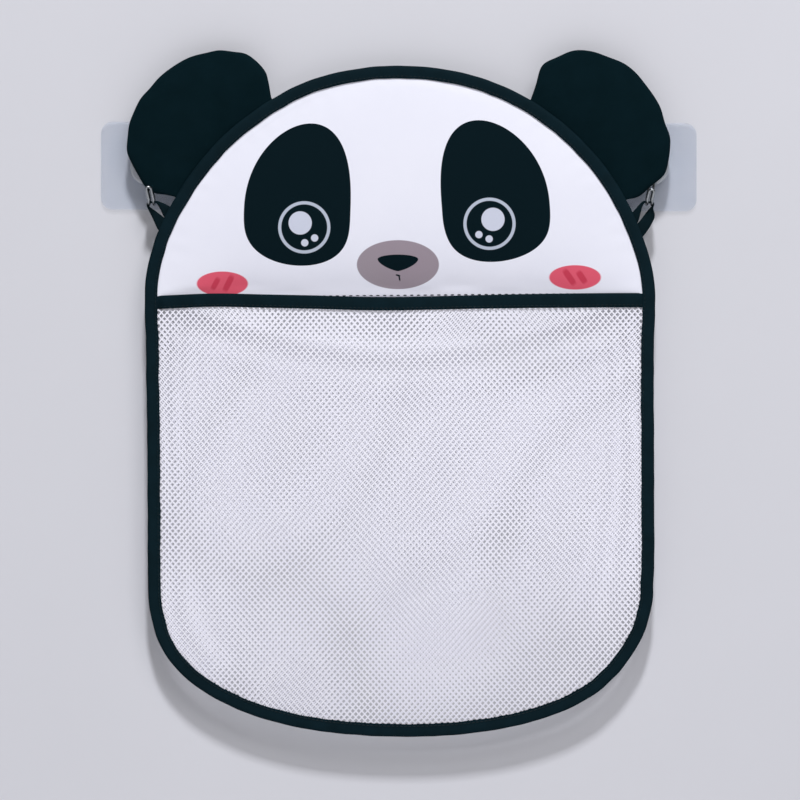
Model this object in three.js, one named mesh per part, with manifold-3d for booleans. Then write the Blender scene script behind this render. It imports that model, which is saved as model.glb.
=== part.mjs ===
// Wall-hung bath toy organizer: a mesh bag with a padded animal head, carried by two clear wall hooks.
// Units are millimetres. +Z is up, the wall is the plane y = 0, and the front faces -Y.
// The origin lies on the wall, midway between the two hooks' pivots.
import * as THREE from 'three';
import { mergeVertices } from 'three/addons/utils/BufferGeometryUtils.js';
import Module from 'manifold-3d';

const wasm = await Module();
wasm.setup();

// Bag outline: a half ellipse for the head, straight sides, and a squarish rounded bottom
const BAG_HALF_WIDTH = 172.5;
const HEAD_TOP = 68;
const HEAD_RISE = 168;
const SIDE_LENGTH = 188;
const BOTTOM_DEPTH = 100;
const BOTTOM_SQUARENESS = 2.3;

// Layers of the bag, measured forward from the wall
const SEAM_FORWARD = 14;
const CLOTH = 0.6;
const LAYER_SPREAD = 1.9;
const GAP = 0.3;

// Edge binding and mouth binding
const BINDING_WIDTH = 8;
const BINDING_THICKNESS = 4.2;
const TAPE = 0.5;
const FOLD_CLEARANCE = 0.7;
const BINDING_SHOULDER = 0.6;
const MOUTH_BAND_WIDTH = 8.6;
const MOUTH_BAND_DROOP = 2.4;
const MOUTH_BAND_BELOW_FACE = 0.6;

// Padded face
const FACE_BOTTOM = -85;
const FACE_CROWN = 5;
const FACE_SHOULDER = 0.7;
const FACE_FADE = 0.5;
const FACE_RINGS = 5;

// Pocket and its coarse diamond net
const POCKET_BELLY = 20;
const POCKET_FULLNESS = 3;
const POCKET_NET_PITCH = 33;
const BACK_NET_PITCH = 40;
const NET_STRETCH = 1.125;
const STRAND = 5;
const SMALLEST_GAP = 60;
const NET_HEM = 6;

// Ears: tilted ellipses, padded, folding forward about a line just outside the head.
// They are placed inboard and outboard of the bag's side.
const EAR_INBOARD = 36;
const EAR_CENTRE_Z = 28.8;
const EAR_LONG = 56.5;
const EAR_SHORT = 41.5;
const EAR_TILT = 50;
const EAR_EDGE = 2.4;
const EAR_CROWN = 7;
const EAR_SEAM_FADE = 18;
const EAR_SKIN = 0.7;
const EAR_SEAM_ALLOWANCE = 3;
const EAR_RINGS = [0.4, 0.7, 0.9, 1];
const FOLD_OUTBOARD = 5.5;
const FOLD_OUTER_Z = -6;
const FOLD_INBOARD = 84.5;
const FOLD_INNER_Z = 47;

// Clear wall hooks with a swivelling wire
const HOOK_INBOARD = 0.5;
const PAD_SIDE = 60;
const PAD_CORNER = 8;
const FILM = 0.5;
const SHEET = 1;
const BOSS_RADIUS = 12;
const BOSS_HEIGHT = 5.6;
const BOSS_ROUND = 1.6;
const PIVOT_ABOVE_SHEET = 2.9;
const PIVOT_REACH = 7;
const WIRE_DIAMETER = 1.8;
const WIRE_SPACING = 3.2;
const WIRE_BEND = 1.5;
const HOOK_DROP = 18;
const HOOK_INNER_RADIUS = 7;
const TIP_LEAN = 20;
const TIP_LENGTH = 5.3;

// Strap loops: flat tape at the seam, gathered to a round bundle over the hook
const STRAP_WIDTH = 11;
const STRAP_THICKNESS = 1;
const STRAP_BUNDLE = 3.6;
const STRAP_UPPER_Z = -29.9;
const STRAP_LOWER_Z = -39.8;
const STRAP_LEAD = 4;
const STRAP_FLAT = 0.75;
const STRAP_EDGE = 0.45;

// How finely the curves are cut, and how near a point lies to the net's border to count as on it
const HEAD_STEPS = 24;
const RIM_STEPS = 32;
const NET_EDGE_STEPS = 28;
const BOTTOM_STEPS = 36;
const MOUTH_STEPS = 24;
const TRIM_STEPS = 60;
const EAR_SEGMENTS = 28;
const PAD_CORNER_STEPS = 4;
const BEND_STEPS = 3;
const ARC_STEPS = 11;
const TIP_STEPS = 4;
const WIRE_SIDES = 7;
const BOSS_SIDES = 28;
const BORE_SIDES = 12;
const STRAP_STEPS = 28;
const BORDER_TOLERANCE = 0.5;

const radians = THREE.MathUtils.degToRad;
const lerp = THREE.MathUtils.lerp;
const smoothstep = THREE.MathUtils.smoothstep;

// Heights of the outline's stretches and the depths of the layers
const headBase = HEAD_TOP - HEAD_RISE;
const sideBase = headBase - SIDE_LENGTH;
const bagBottom = sideBase - BOTTOM_DEPTH;
const backLayer = SEAM_FORWARD - LAYER_SPREAD / 2;
const frontLayer = SEAM_FORWARD + LAYER_SPREAD / 2;
const panelInset = TAPE + FOLD_CLEARANCE;
const openInset = BINDING_WIDTH + GAP;
const bandTop = FACE_BOTTOM - MOUTH_BAND_BELOW_FACE;
const earCentreX = BAG_HALF_WIDTH - EAR_INBOARD;
const foldOuterX = BAG_HALF_WIDTH + FOLD_OUTBOARD;
const foldInnerX = BAG_HALF_WIDTH - FOLD_INBOARD;
const hookX = BAG_HALF_WIDTH - HOOK_INBOARD;
const wireRadius = WIRE_DIAMETER / 2;
const sheetFront = FILM + SHEET;
const pivotForward = sheetFront + PIVOT_ABOVE_SHEET;
const hookRadius = HOOK_INNER_RADIUS + wireRadius;
const troughForward = pivotForward + hookRadius;

const white = { color: 0xeef0f5, roughness: 0.85, metalness: 0 };
const netWhite = { color: 0xf3f4f8, roughness: 0.8, metalness: 0 };
const black = { color: 0x14181c, roughness: 0.9, metalness: 0 };
const foam = { color: 0xf2efe2, roughness: 1, metalness: 0 };
const clear = { color: 0xdfe8ee, roughness: 0.12, metalness: 0, transparent: true, opacity: 0.4 };
const steel = { color: 0xc9ced3, roughness: 0.22, metalness: 1 };

const organizer = new THREE.Group();

function addPiece(name, geometry, look) {
  const mesh = new THREE.Mesh(geometry, new THREE.MeshStandardMaterial(look));
  mesh.name = name;
  organizer.add(mesh);
}

// A point from its sideways place, its distance forward from the wall and its height
function place(x, forward, z) {
  return new THREE.Vector3(x, -forward, z);
}

// Mesh helpers

function geometryFrom(points, triangles) {
  const geometry = new THREE.BufferGeometry().setFromPoints(points);
  geometry.setIndex(triangles.flat());
  return geometry;
}

function mirrored(geometry) {
  const copy = geometry.clone().scale(-1, 1, 1);
  const order = copy.index.array;
  for (let i = 0; i < order.length; i += 3) {
    const first = order[i];
    order[i] = order[i + 1];
    order[i + 1] = first;
  }
  return copy;
}

function solid(geometry) {
  const bare = geometry.clone();
  bare.deleteAttribute('normal');
  bare.deleteAttribute('uv');
  const merged = mergeVertices(bare, 1e-4);
  const vertProperties = new Float32Array(merged.attributes.position.array);
  const triVerts = new Uint32Array(merged.index.array);
  return new wasm.Manifold(new wasm.Mesh({ numProp: 3, vertProperties, triVerts }));
}

function fromSolid(body) {
  const mesh = body.getMesh();
  const geometry = new THREE.BufferGeometry();
  geometry.setAttribute('position', new THREE.BufferAttribute(mesh.vertProperties, 3));
  geometry.setIndex(new THREE.BufferAttribute(mesh.triVerts, 1));
  return geometry;
}

// Skins a row of matching rings. An open row is closed by flat ends cut as the section's triangles.
function loft(rings, sectionTriangles) {
  const sides = rings[0].length;
  const triangles = [];
  const spans = sectionTriangles ? rings.length - 1 : rings.length;
  for (let i = 0; i < spans; i++) {
    const near = i * sides;
    const far = ((i + 1) % rings.length) * sides;
    for (let j = 0; j < sides; j++) {
      const next = (j + 1) % sides;
      triangles.push([near + j, near + next, far + next], [near + j, far + next, far + j]);
    }
  }
  if (sectionTriangles) {
    const last = (rings.length - 1) * sides;
    for (const [a, b, c] of sectionTriangles) {
      triangles.push([c, b, a], [last + a, last + b, last + c]);
    }
  }
  return geometryFrom(rings.flat(), triangles);
}

// A loft's faces point outward for one sense of its section, so a loft that came inside out is turned.
function outward(geometry) {
  const at = geometry.attributes.position;
  const order = geometry.index.array;
  const corners = [new THREE.Vector3(), new THREE.Vector3(), new THREE.Vector3()];
  let volume = 0;
  for (let i = 0; i < order.length; i += 3) {
    corners.forEach((corner, k) => corner.fromBufferAttribute(at, order[i + k]));
    volume += corners[0].dot(corners[1].clone().cross(corners[2]));
  }
  if (volume < 0) {
    geometry.index.array.reverse();
  }
  return geometry;
}

// A plate of flat triangles in the xz plane becomes a closed sheet between two surfaces.
function sheetFrom(points, triangles, forwardBack, forwardFront) {
  const count = points.length;
  const front = points.map((p) => place(p.x, forwardFront(p.x, p.y), p.y));
  const back = points.map((p) => place(p.x, forwardBack(p.x, p.y), p.y));
  const faces = [];
  const edges = new Map();
  for (const [a, b, c] of triangles) {
    faces.push([a, b, c], [count + c, count + b, count + a]);
    for (const [from, to] of [[a, b], [b, c], [c, a]]) {
      const twin = `${to} ${from}`;
      if (!edges.delete(twin)) {
        edges.set(`${from} ${to}`, [from, to]);
      }
    }
  }
  for (const [from, to] of edges.values()) {
    faces.push([to, from, count + from], [to, count + from, count + to]);
  }
  return outward(geometryFrom([...front, ...back], faces));
}

// Outline of the bag

function halfWidth(z, inset) {
  const across = BAG_HALF_WIDTH - inset;
  if (z > headBase) {
    const up = Math.min((z - headBase) / (HEAD_RISE - inset), 1);
    return across * Math.sqrt(1 - up * up);
  }
  if (z > sideBase) {
    return across;
  }
  const down = Math.min((sideBase - z) / (BOTTOM_DEPTH - inset), 1);
  return across * Math.pow(1 - Math.pow(down, BOTTOM_SQUARENESS), 1 / BOTTOM_SQUARENESS);
}

// Points over the head from the right side to the left, an angle at a time
function headArc(inset, fromAngle, steps) {
  const points = [];
  for (let i = 0; i <= steps; i++) {
    const angle = lerp(fromAngle, Math.PI - fromAngle, i / steps);
    const x = (BAG_HALF_WIDTH - inset) * Math.cos(angle);
    points.push(new THREE.Vector2(x, headBase + (HEAD_RISE - inset) * Math.sin(angle)));
  }
  return points;
}

// Points round the bottom from the left side to the right
function bottomArc(inset, steps) {
  const points = [];
  for (let i = 0; i <= steps; i++) {
    const angle = Math.PI * (1 + i / steps);
    const across = Math.pow(Math.abs(Math.cos(angle)), 2 / BOTTOM_SQUARENESS);
    const down = Math.pow(Math.abs(Math.sin(angle)), 2 / BOTTOM_SQUARENESS);
    const x = Math.sign(Math.cos(angle)) * across * (BAG_HALF_WIDTH - inset);
    points.push(new THREE.Vector2(x, sideBase - down * (BOTTOM_DEPTH - inset)));
  }
  return points;
}

function outlineNormal(x, z) {
  const nearby = BORDER_TOLERANCE;
  const slope = (halfWidth(z + nearby, 0) - halfWidth(z - nearby, 0)) / (2 * nearby);
  return new THREE.Vector2(Math.sign(x), -slope).normalize();
}

// How far the padded face and the pocket stand out from their seams

function faceSwell(x, z) {
  const open = halfWidth(z, openInset);
  const side = open > 0 ? Math.max(0, 1 - (x / open) ** 2) : 0;
  const up = (z - FACE_BOTTOM) / (HEAD_TOP - FACE_BOTTOM);
  return FACE_CROWN * Math.pow(side, FACE_SHOULDER) * smoothstep(up, 0, FACE_FADE);
}

function pocketSwell(x, z) {
  const open = halfWidth(z, openInset);
  const side = open > 0 ? Math.max(0, 1 - (x / open) ** 2) : 0;
  const up = Math.max(0, (z - bagBottom - openInset) / (bandTop - bagBottom - openInset));
  return POCKET_BELLY * side * (1 - Math.pow(1 - Math.min(up, 1), POCKET_FULLNESS));
}

// Head: padded face over foam, with a plain backing behind

function headFan(inset, bottom, rings, rim) {
  const startAngle = Math.asin((bottom - headBase) / (HEAD_RISE - inset));
  const arcs = HEAD_STEPS;
  const centre = new THREE.Vector2(0, bottom);
  const border = headArc(inset, startAngle, arcs);
  const points = [centre];
  for (let ring = 1; ring <= rings; ring++) {
    points.push(...border.map((p) => centre.clone().lerp(p, ring / rings)));
  }
  if (rim !== undefined) {
    const rimAngle = Math.asin((bottom - headBase) / (HEAD_RISE - rim));
    points.push(...headArc(rim, rimAngle, arcs));
  }
  const row = arcs + 1;
  const triangles = [];
  for (let i = 0; i < arcs; i++) {
    triangles.push([0, 1 + i, 2 + i]);
    const bands = rim === undefined ? rings : rings + 1;
    for (let ring = 1; ring < bands; ring++) {
      const near = 1 + (ring - 1) * row + i;
      const far = near + row;
      triangles.push([near, far, far + 1], [near, far + 1, near + 1]);
    }
  }
  return { points, triangles };
}

function facePanel() {
  const { points, triangles } = headFan(openInset, FACE_BOTTOM, FACE_RINGS, panelInset);
  const back = (x, z) => frontLayer - CLOTH / 2 + faceSwell(x, z);
  return sheetFrom(points, triangles, back, (x, z) => back(x, z) + CLOTH);
}

function faceFoam() {
  const { points, triangles } = headFan(openInset, FACE_BOTTOM, FACE_RINGS);
  const back = backLayer + CLOTH / 2 + GAP;
  const front = (x, z) => frontLayer - CLOTH / 2 - GAP + faceSwell(x, z);
  return sheetFrom(points, triangles, () => back, front);
}

function headBacking() {
  const { points, triangles } = headFan(panelInset, FACE_BOTTOM, 1);
  return sheetFrom(points, triangles, () => backLayer - CLOTH / 2, () => backLayer + CLOTH / 2);
}

// Diamond nets: each cell is a diamond trimmed to the open part of the pocket, with a gap left in it

function clipTo(polygon, region) {
  let kept = polygon;
  region.forEach((start, i) => {
    const end = region[(i + 1) % region.length];
    const side = (p) => (end.x - start.x) * (p.y - start.y) - (end.y - start.y) * (p.x - start.x);
    const trimmed = [];
    kept.forEach((p, k) => {
      const q = kept[(k + 1) % kept.length];
      const sp = side(p);
      const sq = side(q);
      if (sp >= 0) {
        trimmed.push(p);
      }
      if (sp * sq < 0) {
        trimmed.push(p.clone().lerp(q, sp / (sp - sq)));
      }
    });
    kept = trimmed;
  });
  return kept;
}

function diamond(x, z, across, up) {
  const corners = [[x + across, z], [x, z + up], [x - across, z], [x, z - up]];
  return corners.map(([cx, cz]) => new THREE.Vector2(cx, cz));
}

function pocketRegion(inset, top) {
  const left = new THREE.Vector2(-halfWidth(top, inset), top);
  const right = new THREE.Vector2(halfWidth(top, inset), top);
  return [left, ...bottomArc(inset, NET_EDGE_STEPS), right];
}

function netPlate(pitch, top) {
  const region = pocketRegion(openInset, top);
  const gapRegion = pocketRegion(openInset + STRAND / 2, top - STRAND / 2);
  const halfAcross = pitch / 2;
  const halfUp = halfAcross * NET_STRETCH;
  const thin = STRAND / 2 * Math.hypot(halfAcross, halfUp);
  const points = [];
  const triangles = [];
  const known = new Map();
  const indexOf = (p) => {
    const key = `${Math.round(p.x * 1e4)} ${Math.round(p.y * 1e4)}`;
    if (!known.has(key)) {
      known.set(key, points.length);
      points.push(p);
    }
    return known.get(key);
  };
  const columns = Math.ceil(BAG_HALF_WIDTH / halfAcross);
  const rows = Math.ceil((top - bagBottom) / halfUp);
  for (let row = 0; row <= rows; row++) {
    for (let column = -columns; column <= columns; column++) {
      if ((row + column) % 2 !== 0) {
        continue;
      }
      const x = column * halfAcross;
      const z = top - row * halfUp;
      const cell = clipTo(diamond(x, z, halfAcross, halfUp), region);
      if (cell.length < 3) {
        continue;
      }
      const gap = clipTo(diamond(x, z, halfAcross - thin / halfUp, halfUp - thin / halfAcross), gapRegion);
      const open = gap.length > 2 && THREE.ShapeUtils.area(gap) > SMALLEST_GAP;
      const holes = open ? [gap.toReversed()] : [];
      const corners = [...cell, ...holes.flat()].map(indexOf);
      const cut = THREE.ShapeUtils.triangulateShape(cell, holes);
      triangles.push(...cut.map((face) => face.map((corner) => corners[corner])));
    }
  }
  return { points, triangles, top };
}

// The net's border runs on as a plain hem into the bindings: up from the top, outward from the sides.
function withHem({ points, triangles, top }, hemTop) {
  const edges = new Map();
  for (const [a, b, c] of triangles) {
    for (const [from, to] of [[a, b], [b, c], [c, a]]) {
      if (!edges.delete(`${to} ${from}`)) {
        edges.set(`${from} ${to}`, [from, to]);
      }
    }
  }
  const onTop = (index) => points[index].y > top - 1e-3;
  const fromSide = (p) => halfWidth(p.y, openInset) - Math.abs(p.x);
  const onSide = (index) => fromSide(points[index]) < BORDER_TOLERANCE;
  const hems = { top: new Map(), side: new Map() };
  const hemPoint = (index, kind) => {
    if (!hems[kind].has(index)) {
      const p = points[index];
      const outer = outlineNormal(p.x, p.y).multiplyScalar(openInset - panelInset).add(p);
      hems[kind].set(index, points.length);
      points.push(kind === 'top' ? new THREE.Vector2(p.x, hemTop) : outer);
    }
    return hems[kind].get(index);
  };
  for (const [from, to] of edges.values()) {
    const along = onTop(from) && onTop(to) ? 'top' : 'side';
    if (along === 'top' || (onSide(from) && onSide(to))) {
      const outerFrom = hemPoint(from, along);
      const outerTo = hemPoint(to, along);
      triangles.push([to, from, outerFrom], [to, outerFrom, outerTo]);
    }
  }
  for (const [corner, above] of hems.top) {
    if (hems.side.has(corner)) {
      const beside = hems.side.get(corner);
      const far = points.length;
      points.push(new THREE.Vector2(points[beside].x, hemTop));
      const turned = points[corner].x > 0 ? [beside, far, above] : [above, far, beside];
      triangles.push([corner, turned[0], turned[1]], [corner, turned[1], turned[2]]);
    }
  }
  return { points, triangles };
}

function pocketNet() {
  const netTop = bandTop - MOUTH_BAND_WIDTH - GAP;
  const hemTop = bandTop - MOUTH_BAND_DROOP - TAPE - GAP;
  const { points, triangles } = withHem(netPlate(POCKET_NET_PITCH, netTop), hemTop);
  const back = (x, z) => frontLayer - CLOTH / 2 + pocketSwell(x, z);
  return sheetFrom(points, triangles, back, (x, z) => back(x, z) + CLOTH);
}

function backNet() {
  const hemTop = FACE_BOTTOM - GAP;
  const { points, triangles } = withHem(netPlate(BACK_NET_PITCH, hemTop - NET_HEM), hemTop);
  return sheetFrom(points, triangles, () => backLayer - CLOTH / 2, () => backLayer + CLOTH / 2);
}

// Bindings: tape folded over the edge, so the section is a channel

function channel(depth, halfThickness) {
  const inner = halfThickness - TAPE;
  const corners = [
    [0, -halfThickness * BINDING_SHOULDER], [TAPE, -halfThickness], [depth, -halfThickness], [depth, -inner],
    [TAPE, -inner], [TAPE, inner], [depth, inner], [depth, halfThickness], [TAPE, halfThickness],
    [0, halfThickness * BINDING_SHOULDER],
  ];
  return corners.map(([inset, forward]) => new THREE.Vector2(inset, forward));
}

function edgeBinding() {
  const section = channel(BINDING_WIDTH, BINDING_THICKNESS / 2);
  const outlines = section.map(({ x }) => [...headArc(x, 0, RIM_STEPS), ...bottomArc(x, BOTTOM_STEPS)]);
  const rings = outlines[0].map((_, i) =>
    section.map(({ y }, k) => place(outlines[k][i].x, SEAM_FORWARD + y, outlines[k][i].y)));
  return outward(loft(rings));
}

function mouthBinding() {
  const section = channel(MOUTH_BAND_WIDTH, CLOTH / 2 + GAP + TAPE);
  const caps = THREE.ShapeUtils.triangulateShape(section, []);
  const end = halfWidth(bandTop, openInset + GAP);
  const rings = [];
  for (let i = 0; i <= MOUTH_STEPS; i++) {
    const across = lerp(-1, 1, i / MOUTH_STEPS);
    const x = across * end;
    const top = bandTop - MOUTH_BAND_DROOP * (1 - across * across);
    const forward = frontLayer + pocketSwell(x, top - MOUTH_BAND_WIDTH / 2);
    rings.push(section.map((p) => place(x, forward + p.y, top - p.x)));
  }
  return outward(loft(rings, caps));
}

// Ears

const earAlong = new THREE.Vector2(Math.cos(radians(EAR_TILT)), Math.sin(radians(EAR_TILT)));
const earAcross = new THREE.Vector2(-earAlong.y, earAlong.x);
const foldDirection = new THREE.Vector2(foldOuterX - foldInnerX, FOLD_INNER_Z - FOLD_OUTER_Z);
foldDirection.normalize();

// Half the padding's thickness, pinched at the outer edge and towards the head seam
function earHalf(x, z, radius) {
  const reach = Math.hypot(x / BAG_HALF_WIDTH, (z - headBase) / HEAD_RISE) - 1;
  const fromSeam = smoothstep(reach * HEAD_RISE, 0, EAR_SEAM_FADE);
  const dome = Math.sqrt(Math.max(0, 1 - radius * radius));
  return EAR_EDGE / 2 + (EAR_CROWN - EAR_EDGE) / 2 * dome * fromSeam;
}

// A left ear's padding, drawn in by a skin on both faces and by an allowance round the edge
function earPad(skin, allowance) {
  const segments = EAR_SEGMENTS;
  const points = [new THREE.Vector2(-earCentreX, EAR_CENTRE_Z)];
  const radiusAt = [0];
  for (const radius of EAR_RINGS) {
    for (let i = 0; i < segments; i++) {
      const angle = 2 * Math.PI * i / segments;
      const along = (EAR_LONG - allowance) * radius * Math.cos(angle);
      const across = (EAR_SHORT - allowance) * radius * Math.sin(angle);
      const p = points[0].clone().addScaledVector(earAlong, along);
      points.push(p.addScaledVector(earAcross, -across));
      radiusAt.push(radius);
    }
  }
  const triangles = [];
  for (let i = 0; i < segments; i++) {
    const next = (i + 1) % segments;
    triangles.push([0, 1 + i, 1 + next]);
    for (let ring = 1; ring < EAR_RINGS.length; ring++) {
      const near = 1 + (ring - 1) * segments;
      const far = near + segments;
      triangles.push([near + i, far + i, far + next], [near + i, far + next, near + next]);
    }
  }
  const half = new Map(points.map((p, i) => [`${p.x} ${p.y}`, earHalf(p.x, p.y, radiusAt[i]) - skin]));
  const depth = (x, z) => half.get(`${x} ${z}`);
  const back = (x, z) => SEAM_FORWARD - depth(x, z);
  return solid(sheetFrom(points, triangles, back, (x, z) => SEAM_FORWARD + depth(x, z)));
}

// A thick block covering one side of the fold line, starting a set distance from it
function foldSide(outerSide, from) {
  const reach = 2 * EAR_LONG;
  const normal = new THREE.Vector2(-foldDirection.y, foldDirection.x);
  const start = new THREE.Vector2(-foldOuterX, FOLD_OUTER_Z).addScaledVector(foldDirection, -reach);
  const finish = start.clone().addScaledVector(foldDirection, 4 * reach);
  const shift = outerSide ? 1 : -1;
  const corners = [
    start.clone().addScaledVector(normal, shift * from),
    finish.clone().addScaledVector(normal, shift * from),
    finish.clone().addScaledVector(normal, shift * reach),
    start.clone().addScaledVector(normal, shift * reach),
  ];
  const plate = outerSide ? [[0, 1, 2], [0, 2, 3]] : [[0, 2, 1], [0, 3, 2]];
  return solid(sheetFrom(corners, plate, () => SEAM_FORWARD - EAR_CROWN, () => SEAM_FORWARD + EAR_CROWN));
}

// The head's outline as a block that trims the ears to the binding's edge
function headBlock(clearance) {
  const border = [...headArc(-clearance, 0, TRIM_STEPS)];
  const plate = THREE.ShapeUtils.triangulateShape(border, []);
  return solid(sheetFrom(border, plate, () => SEAM_FORWARD - EAR_CROWN, () => SEAM_FORWARD + EAR_CROWN));
}

function earPieces() {
  const trimmed = earPad(0, 0).subtract(headBlock(GAP));
  const hollow = earPad(EAR_SKIN, EAR_SEAM_ALLOWANCE);
  const filling = earPad(EAR_SKIN + GAP, EAR_SEAM_ALLOWANCE + GAP);
  const flap = trimmed.intersect(foldSide(true, GAP / 2));
  return {
    cover: fromSolid(flap.subtract(hollow)),
    wadding: fromSolid(filling.intersect(foldSide(true, GAP / 2))),
    base: fromSolid(trimmed.intersect(foldSide(false, GAP / 2))),
  };
}

// Wall hooks

function padShape() {
  const half = PAD_SIDE / 2;
  const shape = new THREE.Shape();
  const corners = [[1, 1, 0], [-1, 1, 90], [-1, -1, 180], [1, -1, 270]];
  for (const [across, up, turn] of corners) {
    const x = across * (half - PAD_CORNER);
    const y = up * (half - PAD_CORNER);
    shape.absarc(x, y, PAD_CORNER, radians(turn), radians(turn + 90), false);
  }
  return shape;
}

// A pad layer standing against the wall, its outline turned from flat to upright
function padLayer(back, thickness) {
  const settings = { depth: thickness, bevelEnabled: false, curveSegments: PAD_CORNER_STEPS };
  const layer = new THREE.ExtrudeGeometry(padShape(), settings);
  layer.rotateX(Math.PI / 2);
  return layer.translate(0, -back, 0);
}

function tubeAlong(points, radius, sides) {
  const rings = [];
  let side = new THREE.Vector3(0, 1, 0);
  points.forEach((p, i) => {
    const before = points[Math.max(i - 1, 0)];
    const after = points[Math.min(i + 1, points.length - 1)];
    const along = after.clone().sub(before).normalize();
    side = side.clone().addScaledVector(along, -side.dot(along)).normalize();
    const up = along.clone().cross(side);
    const ring = [];
    for (let k = 0; k < sides; k++) {
      const angle = 2 * Math.PI * k / sides;
      const rim = p.clone().addScaledVector(side, radius * Math.cos(angle));
      ring.push(rim.addScaledVector(up, radius * Math.sin(angle)));
    }
    rings.push(ring);
  });
  const fan = [];
  for (let k = 2; k < sides; k++) {
    fan.push([0, k - 1, k]);
  }
  return outward(loft(rings, fan));
}

// One leg of the wire, from its pivot end down round the hook to the middle of its rounded tip
function wireLeg() {
  const legX = WIRE_SPACING / 2;
  const points = [place(PIVOT_REACH, pivotForward, 0)];
  for (let i = 0; i <= BEND_STEPS; i++) {
    const angle = radians(90 * i / BEND_STEPS);
    const x = legX + WIRE_BEND * (1 - Math.sin(angle));
    points.push(place(x, pivotForward, -WIRE_BEND * (1 - Math.cos(angle))));
  }
  const turn = 180 - TIP_LEAN;
  for (let i = 0; i <= ARC_STEPS; i++) {
    const angle = radians(180 + turn * i / ARC_STEPS);
    const forward = troughForward + hookRadius * Math.cos(angle);
    points.push(place(legX, forward, -HOOK_DROP + hookRadius * Math.sin(angle)));
  }
  const lean = place(0, Math.sin(radians(TIP_LEAN)), Math.cos(radians(TIP_LEAN)));
  const tipBase = points.at(-1).clone().addScaledVector(lean, TIP_LENGTH);
  for (let i = 0; i < TIP_STEPS; i++) {
    const angle = radians(90 * i / TIP_STEPS);
    const p = tipBase.clone().addScaledVector(lean, legX * Math.sin(angle));
    p.x = legX * Math.cos(angle);
    points.push(p);
  }
  return { points, tip: tipBase.clone().addScaledVector(lean, legX).setX(0) };
}

function hookWire() {
  const { points, tip } = wireLeg();
  const other = points.map((p) => p.clone().setX(-p.x)).reverse();
  return tubeAlong([...points, tip, ...other], wireRadius, WIRE_SIDES);
}

// A low round boss, slotted so that the wire can swing out, with a cross bore for the wire's ends
function hookBoss() {
  const profile = [new THREE.Vector2(0, 0), new THREE.Vector2(BOSS_RADIUS, 0)];
  for (let i = 0; i <= BEND_STEPS; i++) {
    const angle = radians(90 * i / BEND_STEPS);
    const x = BOSS_RADIUS - BOSS_ROUND * (1 - Math.cos(angle));
    profile.push(new THREE.Vector2(x, BOSS_HEIGHT - BOSS_ROUND * (1 - Math.sin(angle))));
  }
  profile.push(new THREE.Vector2(0, BOSS_HEIGHT));
  const dome = new THREE.LatheGeometry(profile, BOSS_SIDES);
  dome.rotateX(Math.PI).translate(0, -sheetFront, 0);
  const slack = wireRadius + GAP;
  const slotWidth = WIRE_SPACING + 2 * slack;
  const slotFloor = pivotForward - slack;
  const slotDeep = 2 * BOSS_HEIGHT;
  const slotTall = BOSS_RADIUS + 2 * slack;
  const slot = new THREE.BoxGeometry(slotWidth, slotDeep, slotTall);
  slot.translate(0, -(slotFloor + slotDeep / 2), slack - slotTall / 2);
  const bore = new THREE.CylinderGeometry(slack, slack, 2 * (PIVOT_REACH + GAP), BORE_SIDES);
  bore.rotateZ(Math.PI / 2).translate(0, -pivotForward, 0);
  const bendWidth = WIRE_SPACING + 2 * (WIRE_BEND + slack);
  const bend = new THREE.BoxGeometry(bendWidth, slotDeep, WIRE_BEND + 2 * slack);
  bend.translate(0, -(slotFloor + slotDeep / 2), -WIRE_BEND / 2);
  return fromSolid(solid(dome).subtract(solid(slot)).subtract(solid(bore)).subtract(solid(bend)));
}

// Strap loops, worked out for the left hook: over the trough, one end to each of two places on the seam

function seamPoint(z, away) {
  const edge = new THREE.Vector2(-halfWidth(z, 0), z);
  return edge.addScaledVector(outlineNormal(-1, z), away);
}

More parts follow.
